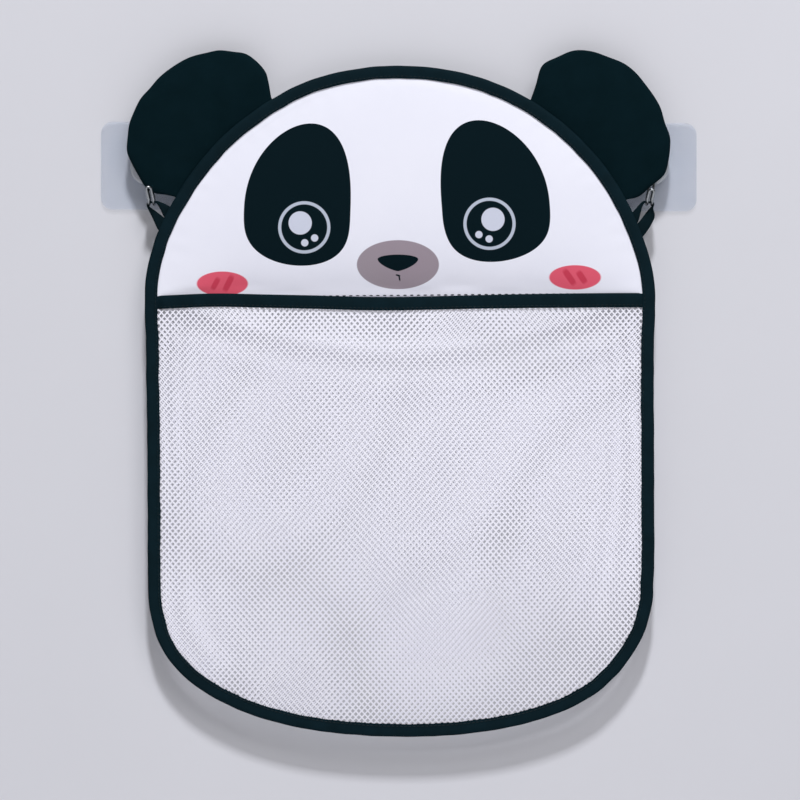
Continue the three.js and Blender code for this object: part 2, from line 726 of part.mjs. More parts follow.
function strapLoop() {
  const bundle = STRAP_BUNDLE / 2;
  const top = -HOOK_DROP - HOOK_INNER_RADIUS + GAP + bundle;
  const beside = WIRE_SPACING / 2 + wireRadius + GAP + bundle;
  const under = -HOOK_DROP - hookRadius - wireRadius - GAP;
  const upper = seamPoint(STRAP_UPPER_Z, GAP);
  const upperLead = seamPoint(STRAP_UPPER_Z, GAP + STRAP_LEAD);
  const lower = seamPoint(STRAP_LOWER_Z, GAP);
  const lowerLead = seamPoint(STRAP_LOWER_Z, GAP + STRAP_LEAD);
  const flatHalf = WIRE_SPACING / 2 + wireRadius / 2;
  const middle = new THREE.Vector2(-hookX, under - STRAP_WIDTH / 2);
  const route = [
    place(upper.x, SEAM_FORWARD, upper.y),
    place(upperLead.x, SEAM_FORWARD, upperLead.y),
    place(-hookX + beside, troughForward, top - bundle / 2),
    place(-hookX + flatHalf, troughForward, top),
    place(-hookX - flatHalf, troughForward, top),
    place(-hookX - beside, troughForward, top - bundle),
    place(-hookX - beside, troughForward, under - bundle / 2),
    place(middle.x, (troughForward + SEAM_FORWARD) / 2, middle.y),
    place(lowerLead.x, SEAM_FORWARD, lowerLead.y),
    place(lower.x, SEAM_FORWARD, lower.y),
  ];
  const curve = new THREE.CatmullRomCurve3(route, false, 'centripetal');
  const ends = { upper: route[0], lower: route.at(-1) };
  const section = [
    [1, STRAP_EDGE], [STRAP_FLAT, 1], [-STRAP_FLAT, 1], [-1, STRAP_EDGE],
    [-1, -STRAP_EDGE], [-STRAP_FLAT, -1], [STRAP_FLAT, -1], [1, -STRAP_EDGE],
  ];
  const rings = [];
  for (let i = 0; i <= STRAP_STEPS; i++) {
    const p = curve.getPointAt(i / STRAP_STEPS);
    const along = curve.getTangentAt(i / STRAP_STEPS);
    const across = new THREE.Vector3(-along.z, 0, along.x).normalize();
    const out = along.clone().cross(across);
    const fromEnd = Math.min(p.distanceTo(ends.upper), p.distanceTo(ends.lower));
    const gathered = smoothstep(fromEnd, 0, STRAP_WIDTH);
    const halfWide = lerp(STRAP_WIDTH / 2, bundle, gathered);
    const halfThick = lerp(STRAP_THICKNESS / 2, bundle, gathered);
    rings.push(section.map(([wide, thick]) =>
      p.clone().addScaledVector(across, wide * halfWide).addScaledVector(out, thick * halfThick)));
  }
  const fan = [];
  for (let k = 2; k < section.length; k++) {
    fan.push([0, k - 1, k]);
  }
  return outward(loft(rings, fan));
}

// Assembly

const ear = earPieces();
const strap = strapLoop();
const sides = [
  { name: 'left', x: -hookX, shown: (geometry) => geometry.clone() },
  { name: 'right', x: hookX, shown: mirrored },
];
for (const side of sides) {
  const toHook = (geometry) => geometry.translate(side.x, 0, 0);
  addPiece(`adhesive_film_${side.name}`, toHook(padLayer(0, FILM)), clear);
  addPiece(`clear_sheet_${side.name}`, toHook(padLayer(FILM, SHEET)), clear);
  addPiece(`hook_boss_${side.name}`, toHook(hookBoss()), clear);
  addPiece(`hook_wire_${side.name}`, toHook(hookWire()), steel);
  addPiece(`strap_loop_${side.name}`, side.shown(strap), black);
  addPiece(`ear_base_${side.name}`, side.shown(ear.base), black);
  addPiece(`ear_cover_${side.name}`, side.shown(ear.cover), black);
  addPiece(`ear_wadding_${side.name}`, side.shown(ear.wadding), foam);
}
addPiece('face_panel', facePanel(), white);
addPiece('face_foam', faceFoam(), foam);
addPiece('head_backing', headBacking(), white);
addPiece('back_mesh_panel', backNet(), netWhite);
addPiece('pocket_mesh', pocketNet(), netWhite);
addPiece('mouth_binding', mouthBinding(), black);
addPiece('edge_binding', edgeBinding(), black);

export default organizer;
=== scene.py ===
# %% [markdown]
# # A wall-hung mesh toy bag with a padded animal head
#
# The real bag is sewn from a printed padded face, two panels of white mesh, black binding tape and two padded
# ears. Two loops of tape hang it on swivelling wire hooks, and each hook sits on a clear sticker on the wall.
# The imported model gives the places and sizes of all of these. This lesson gives them their cloth, thread,
# plastic and steel.

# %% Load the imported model
import math

import bpy
import numpy as np
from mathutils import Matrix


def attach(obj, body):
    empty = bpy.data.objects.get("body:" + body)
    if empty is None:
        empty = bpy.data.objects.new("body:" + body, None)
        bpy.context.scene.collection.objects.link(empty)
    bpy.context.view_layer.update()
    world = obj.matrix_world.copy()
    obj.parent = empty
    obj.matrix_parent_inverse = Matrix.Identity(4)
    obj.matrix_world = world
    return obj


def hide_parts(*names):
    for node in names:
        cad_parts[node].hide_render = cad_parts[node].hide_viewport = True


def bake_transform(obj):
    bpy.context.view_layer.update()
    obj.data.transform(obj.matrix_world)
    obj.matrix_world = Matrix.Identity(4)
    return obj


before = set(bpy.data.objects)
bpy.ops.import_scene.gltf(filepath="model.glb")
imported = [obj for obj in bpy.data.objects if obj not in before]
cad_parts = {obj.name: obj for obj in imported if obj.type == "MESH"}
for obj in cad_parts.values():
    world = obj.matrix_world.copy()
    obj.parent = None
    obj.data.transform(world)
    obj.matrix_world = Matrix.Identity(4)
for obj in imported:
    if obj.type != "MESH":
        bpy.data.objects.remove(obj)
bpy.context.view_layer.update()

# %% [markdown]
# ## The bag's measures
#
# A sewn bag is drafted from a few lengths, and all the cloth is cut from that draft. The same lengths are
# repeated here in millimetres: the head is half an ellipse, the sides are straight and the bottom is a squarish
# curve. "Forward" is the distance from the wall, which Blender counts as minus Y.

# %% Measures and the outline
MM = 0.001
HALF_WIDTH, HEAD_BASE, HEAD_RISE = 172.5, -100.0, 168.0
SIDE_BASE, BOTTOM_DEPTH, SQUARENESS = -288.0, 100.0, 2.3
BAG_BOTTOM = SIDE_BASE - BOTTOM_DEPTH
SEAM, BACK_LAYER, FRONT_LAYER = 14.0, 13.05, 14.95
BINDING, BINDING_HALF = 8.8, 2.1
FACE_BOTTOM, FACE_CROWN = -85.0, 5.0
BAND_TOP, BAND_WIDTH = -86.4, 9.1
POCKET_BELLY = 20.0


def at(x, forward, z):
    """Places in metres from millimetres across, forward from the wall and up."""
    x, forward, z = np.broadcast_arrays(x, forward, z)
    return np.stack([x, -forward, z], -1) * MM


def half_width(z, inset):
    """How far the outline reaches from the middle at a height."""
    z = np.asarray(z, float)
    across = HALF_WIDTH - inset
    up = np.clip((z - HEAD_BASE) / (HEAD_RISE - inset), 0, 1)
    down = np.clip((SIDE_BASE - z) / (BOTTOM_DEPTH - inset), 0, 1)
    head = np.sqrt(1 - up**2)
    bottom = (1 - down**SQUARENESS) ** (1 / SQUARENESS)
    return across * head * bottom


def head_arc(angles, inset):
    across, up = HALF_WIDTH - inset, HEAD_RISE - inset
    return np.stack([across * np.cos(angles), HEAD_BASE + up * np.sin(angles)], -1)


def round_head(x, z):
    """How far outside the head's ellipse a place lies, and its angle round it."""
    across, up = x / HALF_WIDTH, (z - HEAD_BASE) / HEAD_RISE
    return (np.hypot(across, up) - 1) * HEAD_RISE, np.arctan2(up, across)


def squarish(value, power):
    return np.sign(value) * np.abs(value) ** power


def smooth(value, low, high):
    t = np.clip((np.asarray(value, float) - low) / (high - low), 0, 1)
    return t * t * (3 - 2 * t)


def fading(distance, reach):
    return np.exp(-np.clip(distance, 0, None) / reach)


def face_swell(x, z):
    out = (x / (HALF_WIDTH - BINDING)) ** 2 + ((z - HEAD_BASE) / (HEAD_RISE - BINDING)) ** 2
    up = (z - FACE_BOTTOM) / (HEAD_BASE + HEAD_RISE - FACE_BOTTOM)
    return FACE_CROWN * np.clip(1 - out, 0, 1) ** 0.6 * smooth(up, 0, 0.5)


def pocket_swell(x, z):
    side = np.clip(1 - (x / np.maximum(half_width(z, BINDING), 1)) ** 2, 0, 1)
    low = BAG_BOTTOM + BINDING
    up = np.clip((z - low) / (BAND_TOP - low), 0, 1)
    return POCKET_BELLY * side * (1 - (1 - up) ** 3)


print("the bag is", 2 * HALF_WIDTH, "mm wide and", HEAD_BASE + HEAD_RISE - BAG_BOTTOM, "mm tall")

# %% [markdown]
# ## Stations round the edge
#
# The binding and its stitches both run round the whole outline, so the outline is walked once in equal steps.
# A station remembers where it lies on the draft rather than its place, so the same station can be asked for any
# distance in from the edge. A seam guided by hand never quite follows the draft: here it swings out a little
# beside the cheeks and cuts the bottom corners.

# %% Where the seam leaves the draft: station, then millimetres outward
SEAM_WANDER = [
    (0.0, 1.4), (0.04, 2.3), (0.08, 1.8), (0.12, 1.1), (0.2, 0.9), (0.28, 0.9), (0.36, 1.4), (0.44, 1.0),
    (0.48, 0.7), (0.55, 0.9), (0.59, 1.5), (0.63, 1.5), (0.67, 0.7), (0.71, 0.3), (0.79, 0.0), (0.83, 0.2),
    (0.87, 1.0), (0.91, 2.0), (0.95, 2.2), (0.99, 1.1), (1.09, 0.3), (1.2, 0.1), (1.31, -0.3), (1.43, -0.6),
    (1.65, -0.9), (1.88, -0.95), (1.99, -1.2), (2.05, -1.7), (2.11, -1.1), (2.17, -0.75), (2.23, -0.9),
    (2.28, -1.1), (2.37, -0.85), (2.45, -0.6), (2.48, -0.1), (2.54, 0.1), (2.62, 0.05), (2.66, 0.3), (2.71, 0.4),
    (2.76, 0.2), (2.815, -1.0), (2.875, -2.0), (2.94, -1.4), (2.995, 0.0), (3.1, 0.8), (3.32, 0.75), (3.55, 0.6),
    (3.77, 0.4), (3.89, 0.5), (4.0, 1.4),
]
wander = np.array(SEAM_WANDER)
print("the seam swings", wander[:, 1].max(), "mm out and", -wander[:, 1].min(), "mm in")


# %% Equal steps round the outline
def rim(stations, inset):
    """Places round the outline, inset from it.

    Stations run 0 to 1 over the head, 1 to 2 down the left, 2 to 3 round the bottom and 3 to 4 up the right.
    """
    part, share = np.floor(stations).astype(int) % 4, stations % 1
    across, height = HALF_WIDTH - inset, HEAD_BASE - SIDE_BASE
    cosine, sine = np.cos(np.pi * share), np.sin(np.pi * share)
    head_z = HEAD_BASE + (HEAD_RISE - inset) * sine
    low_x = -across * squarish(cosine, 2 / SQUARENESS)
    low_z = SIDE_BASE - (BOTTOM_DEPTH - inset) * squarish(sine, 2 / SQUARENESS)
    x = np.choose(part, [across * cosine, -across + 0 * share, low_x, across + 0 * share])
    z = np.choose(part, [head_z, HEAD_BASE - height * share, low_z, SIDE_BASE + height * share])
    return x, z


def equal_stations(spacing):
    dense = np.linspace(0, 4, 20001)
    x, z = rim(dense[:-1], 0)
    x, z = np.append(x, x[0]), np.append(z, z[0])
    gone = np.append(0, np.cumsum(np.hypot(np.diff(x), np.diff(z))))
    count = round(gone[-1] / spacing)
    return np.interp(np.arange(count) / count * gone[-1], gone, dense), gone[-1]


def sewn_rim(stations, inset):
    """Places like those of rim, but where the seam really runs. The wander is eased from point to point."""
    stations = stations % 4
    last = np.clip(np.searchsorted(wander[:, 0], stations, side="right") - 1, 0, len(wander) - 2)
    (start, out), (end, next_out) = wander[last].T, wander[last + 1].T
    share = (stations - start) / (end - start)
    return rim(stations, inset - out - (next_out - out) * share**2 * (3 - 2 * share))


rim_stations, rim_length = equal_stations(1.0)
print("the edge is", round(rim_length), "mm round, in", len(rim_stations), "steps")

# %% [markdown]
# ## Helpers for sewing
#
# Most pieces here are a sheet or a tube of cloth. Each starts as a grid primitive, whose rows of points are laid
# where the cloth goes, and then its meeting edges are welded and its normals recalculated. This is the way a
# pattern piece is sewn: flat cloth first, seams after.

# %% Primitives, grids, welds and joins
def only(piece):
    bpy.ops.object.select_all(action="DESELECT")
    piece.select_set(True)
    bpy.context.view_layer.objects.active = piece
    return piece


def primitive(name, add, **settings):
    """A new primitive with its place, turn and scale applied."""
    bpy.ops.object.select_all(action="DESELECT")
    add(**settings)
    bpy.ops.object.transform_apply(location=True, rotation=True, scale=True)
    piece = bpy.context.object
    piece.name = piece.data.name = name
    return piece


def placed(name, data):
    """A new object for a mesh or a curve."""
    piece = bpy.data.objects.new(name, data)
    bpy.context.scene.collection.objects.link(piece)
    return only(piece)


def from_faces(name, points, faces):
    mesh = bpy.data.meshes.new(name)
    mesh.from_pydata(points, [], faces)
    return placed(name, mesh)


def places_of(piece):
    places = np.zeros(3 * len(piece.data.vertices), np.float32)
    piece.data.vertices.foreach_get("co", places)
    return places.reshape(-1, 3).astype(float)


def millimetres(piece):
    """A piece's points: across, forward and up."""
    x, y, z = places_of(piece).T / MM
    return x, -y, z


def move_to(piece, places):
    piece.data.vertices.foreach_set("co", np.asarray(places, np.float32).reshape(-1))
    piece.data.update()
    return piece


def sew(piece, close=False, reach=2e-6):
    """Welds the points that meet, closes open ends if asked, and turns all faces outward."""
    only(piece)
    bpy.ops.object.mode_set(mode="EDIT")
    bpy.ops.mesh.select_all(action="SELECT")
    bpy.ops.mesh.remove_doubles(threshold=reach)
    if close:
        bpy.ops.mesh.fill_holes(sides=0)
    bpy.ops.mesh.select_all(action="SELECT")
    bpy.ops.mesh.normals_make_consistent(inside=False)
    bpy.ops.object.mode_set(mode="OBJECT")
    bpy.ops.object.shade_smooth()
    return piece


def lay_grid(name, rows):
    up, across = rows.shape[0] - 1, rows.shape[1] - 1
    grid = primitive(name, bpy.ops.mesh.primitive_grid_add, x_subdivisions=across, y_subdivisions=up)
    return move_to(grid, rows)


def lay_tube(name, rings, round_trip=False):
    """A tube through rings of points. A round trip joins its end to its start, and otherwise its ends are closed."""
    rings = np.concatenate([rings, rings[:, :1]], 1)
    if round_trip:
        rings = np.concatenate([rings, rings[:1]], 0)
    return sew(lay_grid(name, rings), close=not round_trip)


def joined(name, pieces):
    only(pieces[0])
    for piece in pieces[1:]:
        piece.select_set(True)
    bpy.ops.object.join()
    pieces[0].name = pieces[0].data.name = name
    return pieces[0]


def apply_modifier(piece, kind, **settings):
    only(piece)
    modifier = piece.modifiers.new(kind.lower(), kind)
    for name, value in settings.items():
        setattr(modifier, name, value)
    bpy.ops.object.modifier_apply(modifier=modifier.name)


# %% Lines cut to equal steps, and a patch between four of them
BORDER_STEPS, SIDE_SHARE = 4001, 0.28


def resample(line, count):
    line = np.asarray(line, float)
    gone = np.append(0, np.cumsum(np.linalg.norm(np.diff(line, axis=0), axis=1)))
    steps = np.linspace(0, gone[-1], count)
    return np.stack([np.interp(steps, gone, line[:, k]) for k in range(line.shape[1])], -1)


def spline_through(points, per_span):
    """A smooth line through points (centripetal Catmull-Rom)."""
    points = np.asarray(points, float)
    points = np.concatenate([[2 * points[0] - points[1]], points, [2 * points[-1] - points[-2]]])
    line = []
    for first in range(len(points) - 3):
        near = points[first : first + 4]
        knots = np.append(0, np.cumsum(np.sqrt(np.linalg.norm(np.diff(near, axis=0), axis=1))))
        t = np.linspace(knots[1], knots[2], per_span, endpoint=False)[:, None]
        for spans in (((0, 1), (1, 2), (2, 3)), ((0, 2), (1, 3)), ((1, 2),)):
            near = [((knots[b] - t) * p + (t - knots[a]) * q) / (knots[b] - knots[a])
                    for (a, b), p, q in zip(spans, near, near[1:])]
        line.append(near[0])
    return np.concatenate([*line, points[-2:-1]])


def patch(border, bottom, columns, rows):
    """Grid of flat places inside a border. The border runs from the bottom's right end over to its left end."""
    border = resample(border, BORDER_STEPS)
    side = int(SIDE_SHARE * len(border))
    right = resample(border[: side + 1], rows)
    top = resample(border[side : len(border) - side][::-1], columns)
    left = resample(border[len(border) - side - 1 :][::-1], rows)
    bottom = resample(bottom, columns)
    u = np.linspace(0, 1, columns)[None, :, None]
    v = np.linspace(0, 1, rows)[:, None, None]
    corners = (1 - v) * ((1 - u) * bottom[0] + u * bottom[-1]) + v * ((1 - u) * top[0] + u * top[-1])
    return (1 - v) * bottom[None] + v * top[None] + (1 - u) * left[:, None] + u * right[:, None] - corners


# %% Filling a sewn case with air
def puff(piece, pinned, pressure, frames, most):
    """Swells a closed case by cloth simulation, with its sewn points held, and caps how far a point moves."""
    start = places_of(piece)
    piece.vertex_groups.new(name="sewn").add(pinned.tolist(), 1.0, "REPLACE")
    only(piece)
    cloth = piece.modifiers.new("filling", "CLOTH")
    feel = {"quality": 6, "mass": 0.2, "tension_stiffness": 12, "compression_stiffness": 12, "shear_stiffness": 6,
            "bending_stiffness": 0.4, "vertex_group_mass": "sewn", "use_pressure": True,
            "uniform_pressure_force": pressure}
    for name, value in feel.items():
        setattr(cloth.settings, name, value)
    cloth.settings.effector_weights.gravity = 0
    cloth.collision_settings.use_collision = False
    cloth.point_cache.frame_start, cloth.point_cache.frame_end = 1, frames
    for step in range(1, frames + 1):
        bpy.context.scene.frame_set(step)
    bpy.ops.object.modifier_apply(modifier="filling")
    bpy.context.scene.frame_set(1)
    piece.vertex_groups.clear()
    moved = places_of(piece) - start
    far = np.linalg.norm(moved, axis=1, keepdims=True)
    print(piece.name, "swelled by up to", round(1000 * far.max(), 2), "mm")
    move_to(piece, start + moved * np.minimum(1, most * MM / np.maximum(far, 1e-9)))


# %% [markdown]
# ## Shader maths as plain sums
#
# Cloth prints and weaves are sums of sines, circles and noise. One small class wraps a node's output so that such
# a sum can be written as Python writes it, and each sign adds its Math node.

# %% Node recipes
def sign(operation):
    return lambda value, other: value.math(operation, other)


class Value:
    """A number that changes over the surface."""

    def __init__(self, recipe, output):
        self.recipe, self.output = recipe, output

    def math(self, operation, *others):
        inputs = dict(enumerate((self, *others)))
        return self.recipe.node("ShaderNodeMath", {"operation": operation}, inputs)

    def clamp(self):
        return self.recipe.node("ShaderNodeClamp", {}, {"Value": self}, "Result")

    def __rsub__(self, other):
        return (self * -1) + other

    __add__ = __radd__ = sign("ADD")
    __mul__ = __rmul__ = sign("MULTIPLY")
    __sub__, __truediv__, __pow__ = sign("SUBTRACT"), sign("DIVIDE"), sign("POWER")


class Recipe:
    """A material and the nodes in it."""

    def __init__(self, name, **fixed):
        self.material = bpy.data.materials.new(name)
        self.material.use_nodes = True
        self.tree = self.material.node_tree
        self.shader = self.tree.nodes["Principled BSDF"]
        for socket, value in fixed.items():
            self.shader.inputs[socket.replace("_", " ")].default_value = value
        self.place = self.node("ShaderNodeTexCoord", {}, {}, "Object")
        apart = self.node("ShaderNodeSeparateXYZ", {}, {"Vector": self.place}, None)
        self.x, self.z = (Value(self, apart.outputs[axis]) * 1000 for axis in "XZ")

    def node(self, kind, settings, inputs, output=0):
        made = self.tree.nodes.new(kind)
        for name, value in settings.items():
            setattr(made, name, value)
        for name, value in inputs.items():
            if isinstance(value, Value):
                self.tree.links.new(value.output, made.inputs[name])
            else:
                made.inputs[name].default_value = value
        return made if output is None else Value(self, made.outputs[output])

    def noise(self, scale, detail, rough):
        inputs = {"Vector": self.place, "Scale": scale, "Detail": detail, "Roughness": rough}
        return self.node("ShaderNodeTexNoise", {}, inputs, "Fac")

    def mix(self, share, first, second):
        """A colour between two: sockets 6 and 7 of a Mix node are its colours, and output 2 is their mix."""
        inputs = {0: share, 6: first, 7: second}
        return self.node("ShaderNodeMix", {"data_type": "RGBA"}, inputs, 2)

    def feed(self, socket, value):
        self.tree.links.new(value.output, self.shader.inputs[socket])

    def tint(self, noise, dark, light):
        """Lets the colour wander between two, and gives the noise that it wanders by."""
        shade = self.noise(*noise)
        self.feed("Base Color", self.mix(shade, rgb(*dark), rgb(*light)))
        return shade

    def bump(self, height, depth_mm, strength):
        inputs = {"Height": height, "Distance": depth_mm * MM, "Strength": strength}
        self.feed("Normal", self.node("ShaderNodeBump", {}, inputs, "Normal"))


def weave(across, up, pitch_mm):
    """Over and under threads: two crossed waves, half a step apart."""
    turn = 2 * math.pi / pitch_mm
    return (across * turn).math("SINE") * (up * turn).math("SINE")


def rgb(*screen):
    """A screen colour, 0 to 255, as Blender's linear colour."""
    c = np.array(screen) / 255
    return (*np.where(c < 0.04045, c / 12.92, ((c + 0.055) / 1.055) ** 2.4), 1.0)


def dress(piece, recipe, slot, body, *nodes):
    piece.data.materials.clear()
    piece.data.materials.append(recipe.material)
    if body:
        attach(piece, body)
    if nodes:
        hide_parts(*nodes)
    faces = sum(len(face.vertices) - 2 for face in piece.data.polygons)
    print(piece.name, "has", faces, "triangles")


# %% [markdown]
# ## The camera and the light
#
# The picture is taken straight on, with the whole bag in a square frame. The lens is long, so that the outline
# at the seam shows at its true proportions. A small lamp near the ceiling casts the shadow under the bag. A wide
# one in front, at the right, and a pale sky soften it, and a third lamp behind the wall is for views of the back.

# %% Camera
PICTURE_MM, CAMERA_MM = 544.0, 2600.0
CAMERA_X, CAMERA_Z = 0.2, -158.8
camera_place = at(CAMERA_X, SEAM + BINDING_HALF + CAMERA_MM, CAMERA_Z)
bpy.ops.object.camera_add(location=camera_place, rotation=(math.pi / 2, 0, 0))
camera = bpy.context.object
camera.data.sensor_width = 36.0
camera.data.lens = camera.data.sensor_width * CAMERA_MM / PICTURE_MM
camera.data.clip_end = 20
bpy.context.scene.camera = camera
print("lens", round(camera.data.lens, 1), "mm")

# %% Lamps and sky
bpy.context.scene.view_settings.view_transform = "Standard"
MIDDLE = (0.0, 0.0, -0.16)


def add_lamp(name, place, width, watts, colour):
    """A square lamp that faces the middle of the bag."""
    bpy.ops.object.light_add(type="AREA", location=place)
    lamp = bpy.context.object
    lamp.name = name
    lamp.data.shape, lamp.data.size = "SQUARE", width
    lamp.data.energy, lamp.data.color = watts, colour
    x, y, z = np.subtract(MIDDLE, place)
    lamp.rotation_euler = (math.atan2(math.hypot(x, y), -z), 0, math.atan2(y, x) - math.pi / 2)


add_lamp("lamp_ceiling", (0.1, -2.1, 3.55), 0.42, 159, (0.945, 0.945, 0.99))
add_lamp("lamp_front", (1.5, -2.9, 2.6), 1.8, 46, (0.98, 0.96, 0.99))
add_lamp("lamp_behind", (-0.5, 1.8, 0.9), 1.6, 22, (1.0, 1.0, 1.0))
world = bpy.data.worlds.new("pale_room")
world.use_nodes = True
sky = world.node_tree.nodes["Background"].inputs
sky["Color"].default_value, sky["Strength"].default_value = (0.9, 0.88, 0.88, 1), 0.152
bpy.context.scene.world = world
print("three lamps and a pale sky")

# %% [markdown]
# ## The wall and the floor
#
# The bag hangs on a wall, and the wall is part of the picture because the bag's shadow falls on it. It isn't part
# of the object. Seen from behind it is clear, so the back of the bag can be seen too.

# %% Wall and floor
STAGE_SIZE = 6.0


def stage_plane(name, place, turn, colour):
    plane = primitive(name, bpy.ops.mesh.primitive_plane_add, size=STAGE_SIZE, location=place, rotation=turn)
    paint = Recipe(name + "_paint", Roughness=0.9, Specular_IOR_Level=0.1)
    lighter = tuple(min(1.0, 1.06 * c) for c in colour)
    paint.feed("Base Color", paint.mix(paint.noise(3.0, 5.0, 0.6), colour, lighter))
    plane.data.materials.append(paint.material)
    return paint


stage_plane("floor", (0, -2.0, -0.8), (0, 0, 0), rgb(226, 226, 228))
wall_paint = stage_plane("wall", (0, 0.0006, 0.4), (math.pi / 2, 0, 0), rgb(209, 210, 214))
light_path = wall_paint.node("ShaderNodeLightPath", {}, {}, None)
facing = wall_paint.node("ShaderNodeNewGeometry", {}, {}, "Backfacing")
seen = [Value(wall_paint, light_path.outputs[name])
        for name in ("Is Camera Ray", "Is Glossy Ray", "Is Transmission Ray")]
shown = (seen[0] + seen[1] + seen[2]).clamp() * (1 - facing)
clear_back = wall_paint.node("ShaderNodeBsdfTransparent", {}, {}, None)
wall_mix = wall_paint.node("ShaderNodeMixShader", {}, {0: shown}, None)
links = wall_paint.tree.links
links.new(clear_back.outputs[0], wall_mix.inputs[1])
links.new(wall_paint.shader.outputs[0], wall_mix.inputs[2])
links.new(wall_mix.outputs[0], wall_paint.tree.nodes["Material Output"].inputs["Surface"])

# %% [markdown]
# ## The printed face
#
# The face is white cloth over thin foam, and its animal face is printed, not sewn. The print could be cut as
# flat pieces, but a printed edge has no thickness, so it is painted by the material: each patch is an ellipse or
# an egg measured from the middle of the bag, in millimetres.

# %% Shapes to print
face_cloth = Recipe("printed_face_cloth", Roughness=0.8, Specular_IOR_Level=0.06)
PRINT_EDGE = 0.35


def disc(centre, across, up, edge=PRINT_EDGE):
    """1 inside an ellipse, 0 outside, with a soft edge in millimetres."""
    away = (((face_cloth.x - centre[0]) / across) ** 2 + ((face_cloth.z - centre[1]) / up) ** 2).math("SQRT")
    return ((1 - away) * (min(across, up) / edge) + 0.5).clamp()


def egg(centre, turn_z, widest, above, below, leans):
    """An upright egg: above and below are its reach from its widest line. Its middle bends away from turn_z."""
    height, bend = face_cloth.z - centre[1], face_cloth.z - turn_z
    over = (height / above).math("MAXIMUM", 0)
    under = (height / -below).math("MAXIMUM", 0)
    share = (1 - over**2.2 - under**3.2).math("MAXIMUM", 0).math("SQRT")
    middle = bend.math("MAXIMUM", 0) ** 2 * leans[0] + bend.math("MINIMUM", 0) ** 2 * leans[1] + centre[0]
    reach = share * widest - (face_cloth.x - middle).math("ABSOLUTE")
    return (reach / PRINT_EDGE + 0.5).clamp() * share.math("GREATER_THAN", 0.02)


def brush(centre, half_long, half_wide, slope, edge):
    """A short stroke with round ends. slope is its angle in degrees, upward to the right."""
    cosine, sine = math.cos(math.radians(slope)), math.sin(math.radians(slope))
    across, up = face_cloth.x - centre[0], face_cloth.z - centre[1]
    long, wide = across * cosine + up * sine, up * cosine - across * sine
    away = ((long / half_long) ** 4 + (wide / half_wide) ** 4).math("SQRT").math("SQRT")
    return ((1 - away) * (half_wide / edge) + 0.5).clamp()


# %% Eye patches and eyes
INK, EYE_RING, EYE_LIGHT = rgb(3, 22, 28), rgb(182, 191, 205), rgb(203, 208, 222)
PATCHES = [
    ((-69.84, -29.58), -39.1, (36.24, 58.82, 37.94), (0.0020, 0.0038)),
    ((65.89, -25.5), -43.18, (36.79, 56.92, 39.44), (-0.0022, -0.0085)),
]
EYES = [
    ((-64.87, -41.48), (-67.63, -38.49), ((-64.53, -51.95), (-57.83, -48.69))),
    ((61.03, -39.03), (63.38, -36.01), ((60.79, -49.33), (53.82, -46.38))),
]
RING_OUT, RING_IN, GLINT, DOT = 17.75, 15.6, 7.9, 2.48
marks = [(egg(centre, turn_z, *sizes, leans), INK) for centre, turn_z, sizes, leans in PATCHES]
for ring, glint, dots in EYES:
    marks.append(((disc(ring, RING_OUT, RING_OUT) - disc(ring, RING_IN, RING_IN)).clamp(), EYE_RING))
    marks.append((disc(glint, GLINT, GLINT), EYE_LIGHT))
    marks += [(disc(dot, DOT, DOT), EYE_LIGHT) for dot in dots]
print("eye patches and eyes are", len(marks), "marks")

# %% Muzzle, nose, mouth and cheeks
muzzle_colour = face_cloth.mix(face_cloth.noise(20.0, 3.0, 0.5), rgb(153, 138, 149), rgb(155, 148, 153))
marks.append((disc((-1.22, -66.78), 27.9, 16.6), muzzle_colour))
NOSE_X, NOSE_Z, NOSE_HALF, NOSE_DROP, NOSE_RISE = -1.22, -63.04, 13.8, 8.2, 3.1
drop = (NOSE_Z - face_cloth.z).math("MAXIMUM", 0) / NOSE_DROP
rise = (face_cloth.z - NOSE_Z).math("MAXIMUM", 0) / NOSE_RISE
nose_width = (1 - rise**2).math("MAXIMUM", 0).math("SQRT") * (1 - drop**1.7).math("MAXIMUM", 0) ** 0.8 * NOSE_HALF
nose = ((nose_width - (face_cloth.x - NOSE_X).math("ABSOLUTE")) / PRINT_EDGE + 0.5).clamp()
marks.append((nose * nose_width.math("GREATER_THAN", 0.4), INK))
MOUTH = [((-1.16, -74.05), 1.5, 0.55, -15), ((-0.2, -75.82), 1.9, 0.5, -80)]
marks += [(brush(*stroke, 0.3), INK) for stroke in MOUTH]
CHEEKS = [
    ((-120.63, -79.7), 17.4, (((-125.32, -79.7), 4.3, 1.8, 61), ((-116.55, -79.49), 5.8, 2.0, 63))),
    ((119.27, -75.41), 17.6, (((115.4, -75.28), 6.0, 2.1, -55), ((123.83, -75.28), 4.6, 2.1, -56))),
]
CHEEK_UP, PINK, RED = 8.3, rgb(222, 92, 112), rgb(196, 58, 80)
for centre, half, strokes in CHEEKS:
    marks.append((disc(centre, half, CHEEK_UP, 0.5), PINK))
    marks += [(brush(*stroke, 0.8) * 0.85, RED) for stroke in strokes]

# %% Print the marks on white cloth
white_shade = face_cloth.noise(14.0, 4.0, 0.55)
paint = face_cloth.mix(white_shade, rgb(229, 231, 241), rgb(238, 239, 247))
for shape, colour in marks:
    paint = face_cloth.mix(shape, paint, colour)
face_cloth.feed("Base Color", paint)
face_cloth.feed("Roughness", white_shade * 0.12 + 0.72)
face_cloth.bump(weave(face_cloth.x, face_cloth.z, 0.7) * 0.5 + white_shade, 0.05, 0.5)
print("face print has", len(face_cloth.tree.nodes), "nodes")

# %% [markdown]
# ## The padded head
#
# The head is a printed front and a plain back sewn together over foam, so it is one closed case. It starts flat
# at its seam with a low crown and is then filled with a little air in a cloth simulation, with the seam and the
# back held. Last come the small puckers that the binding's stitches pull into the cloth.

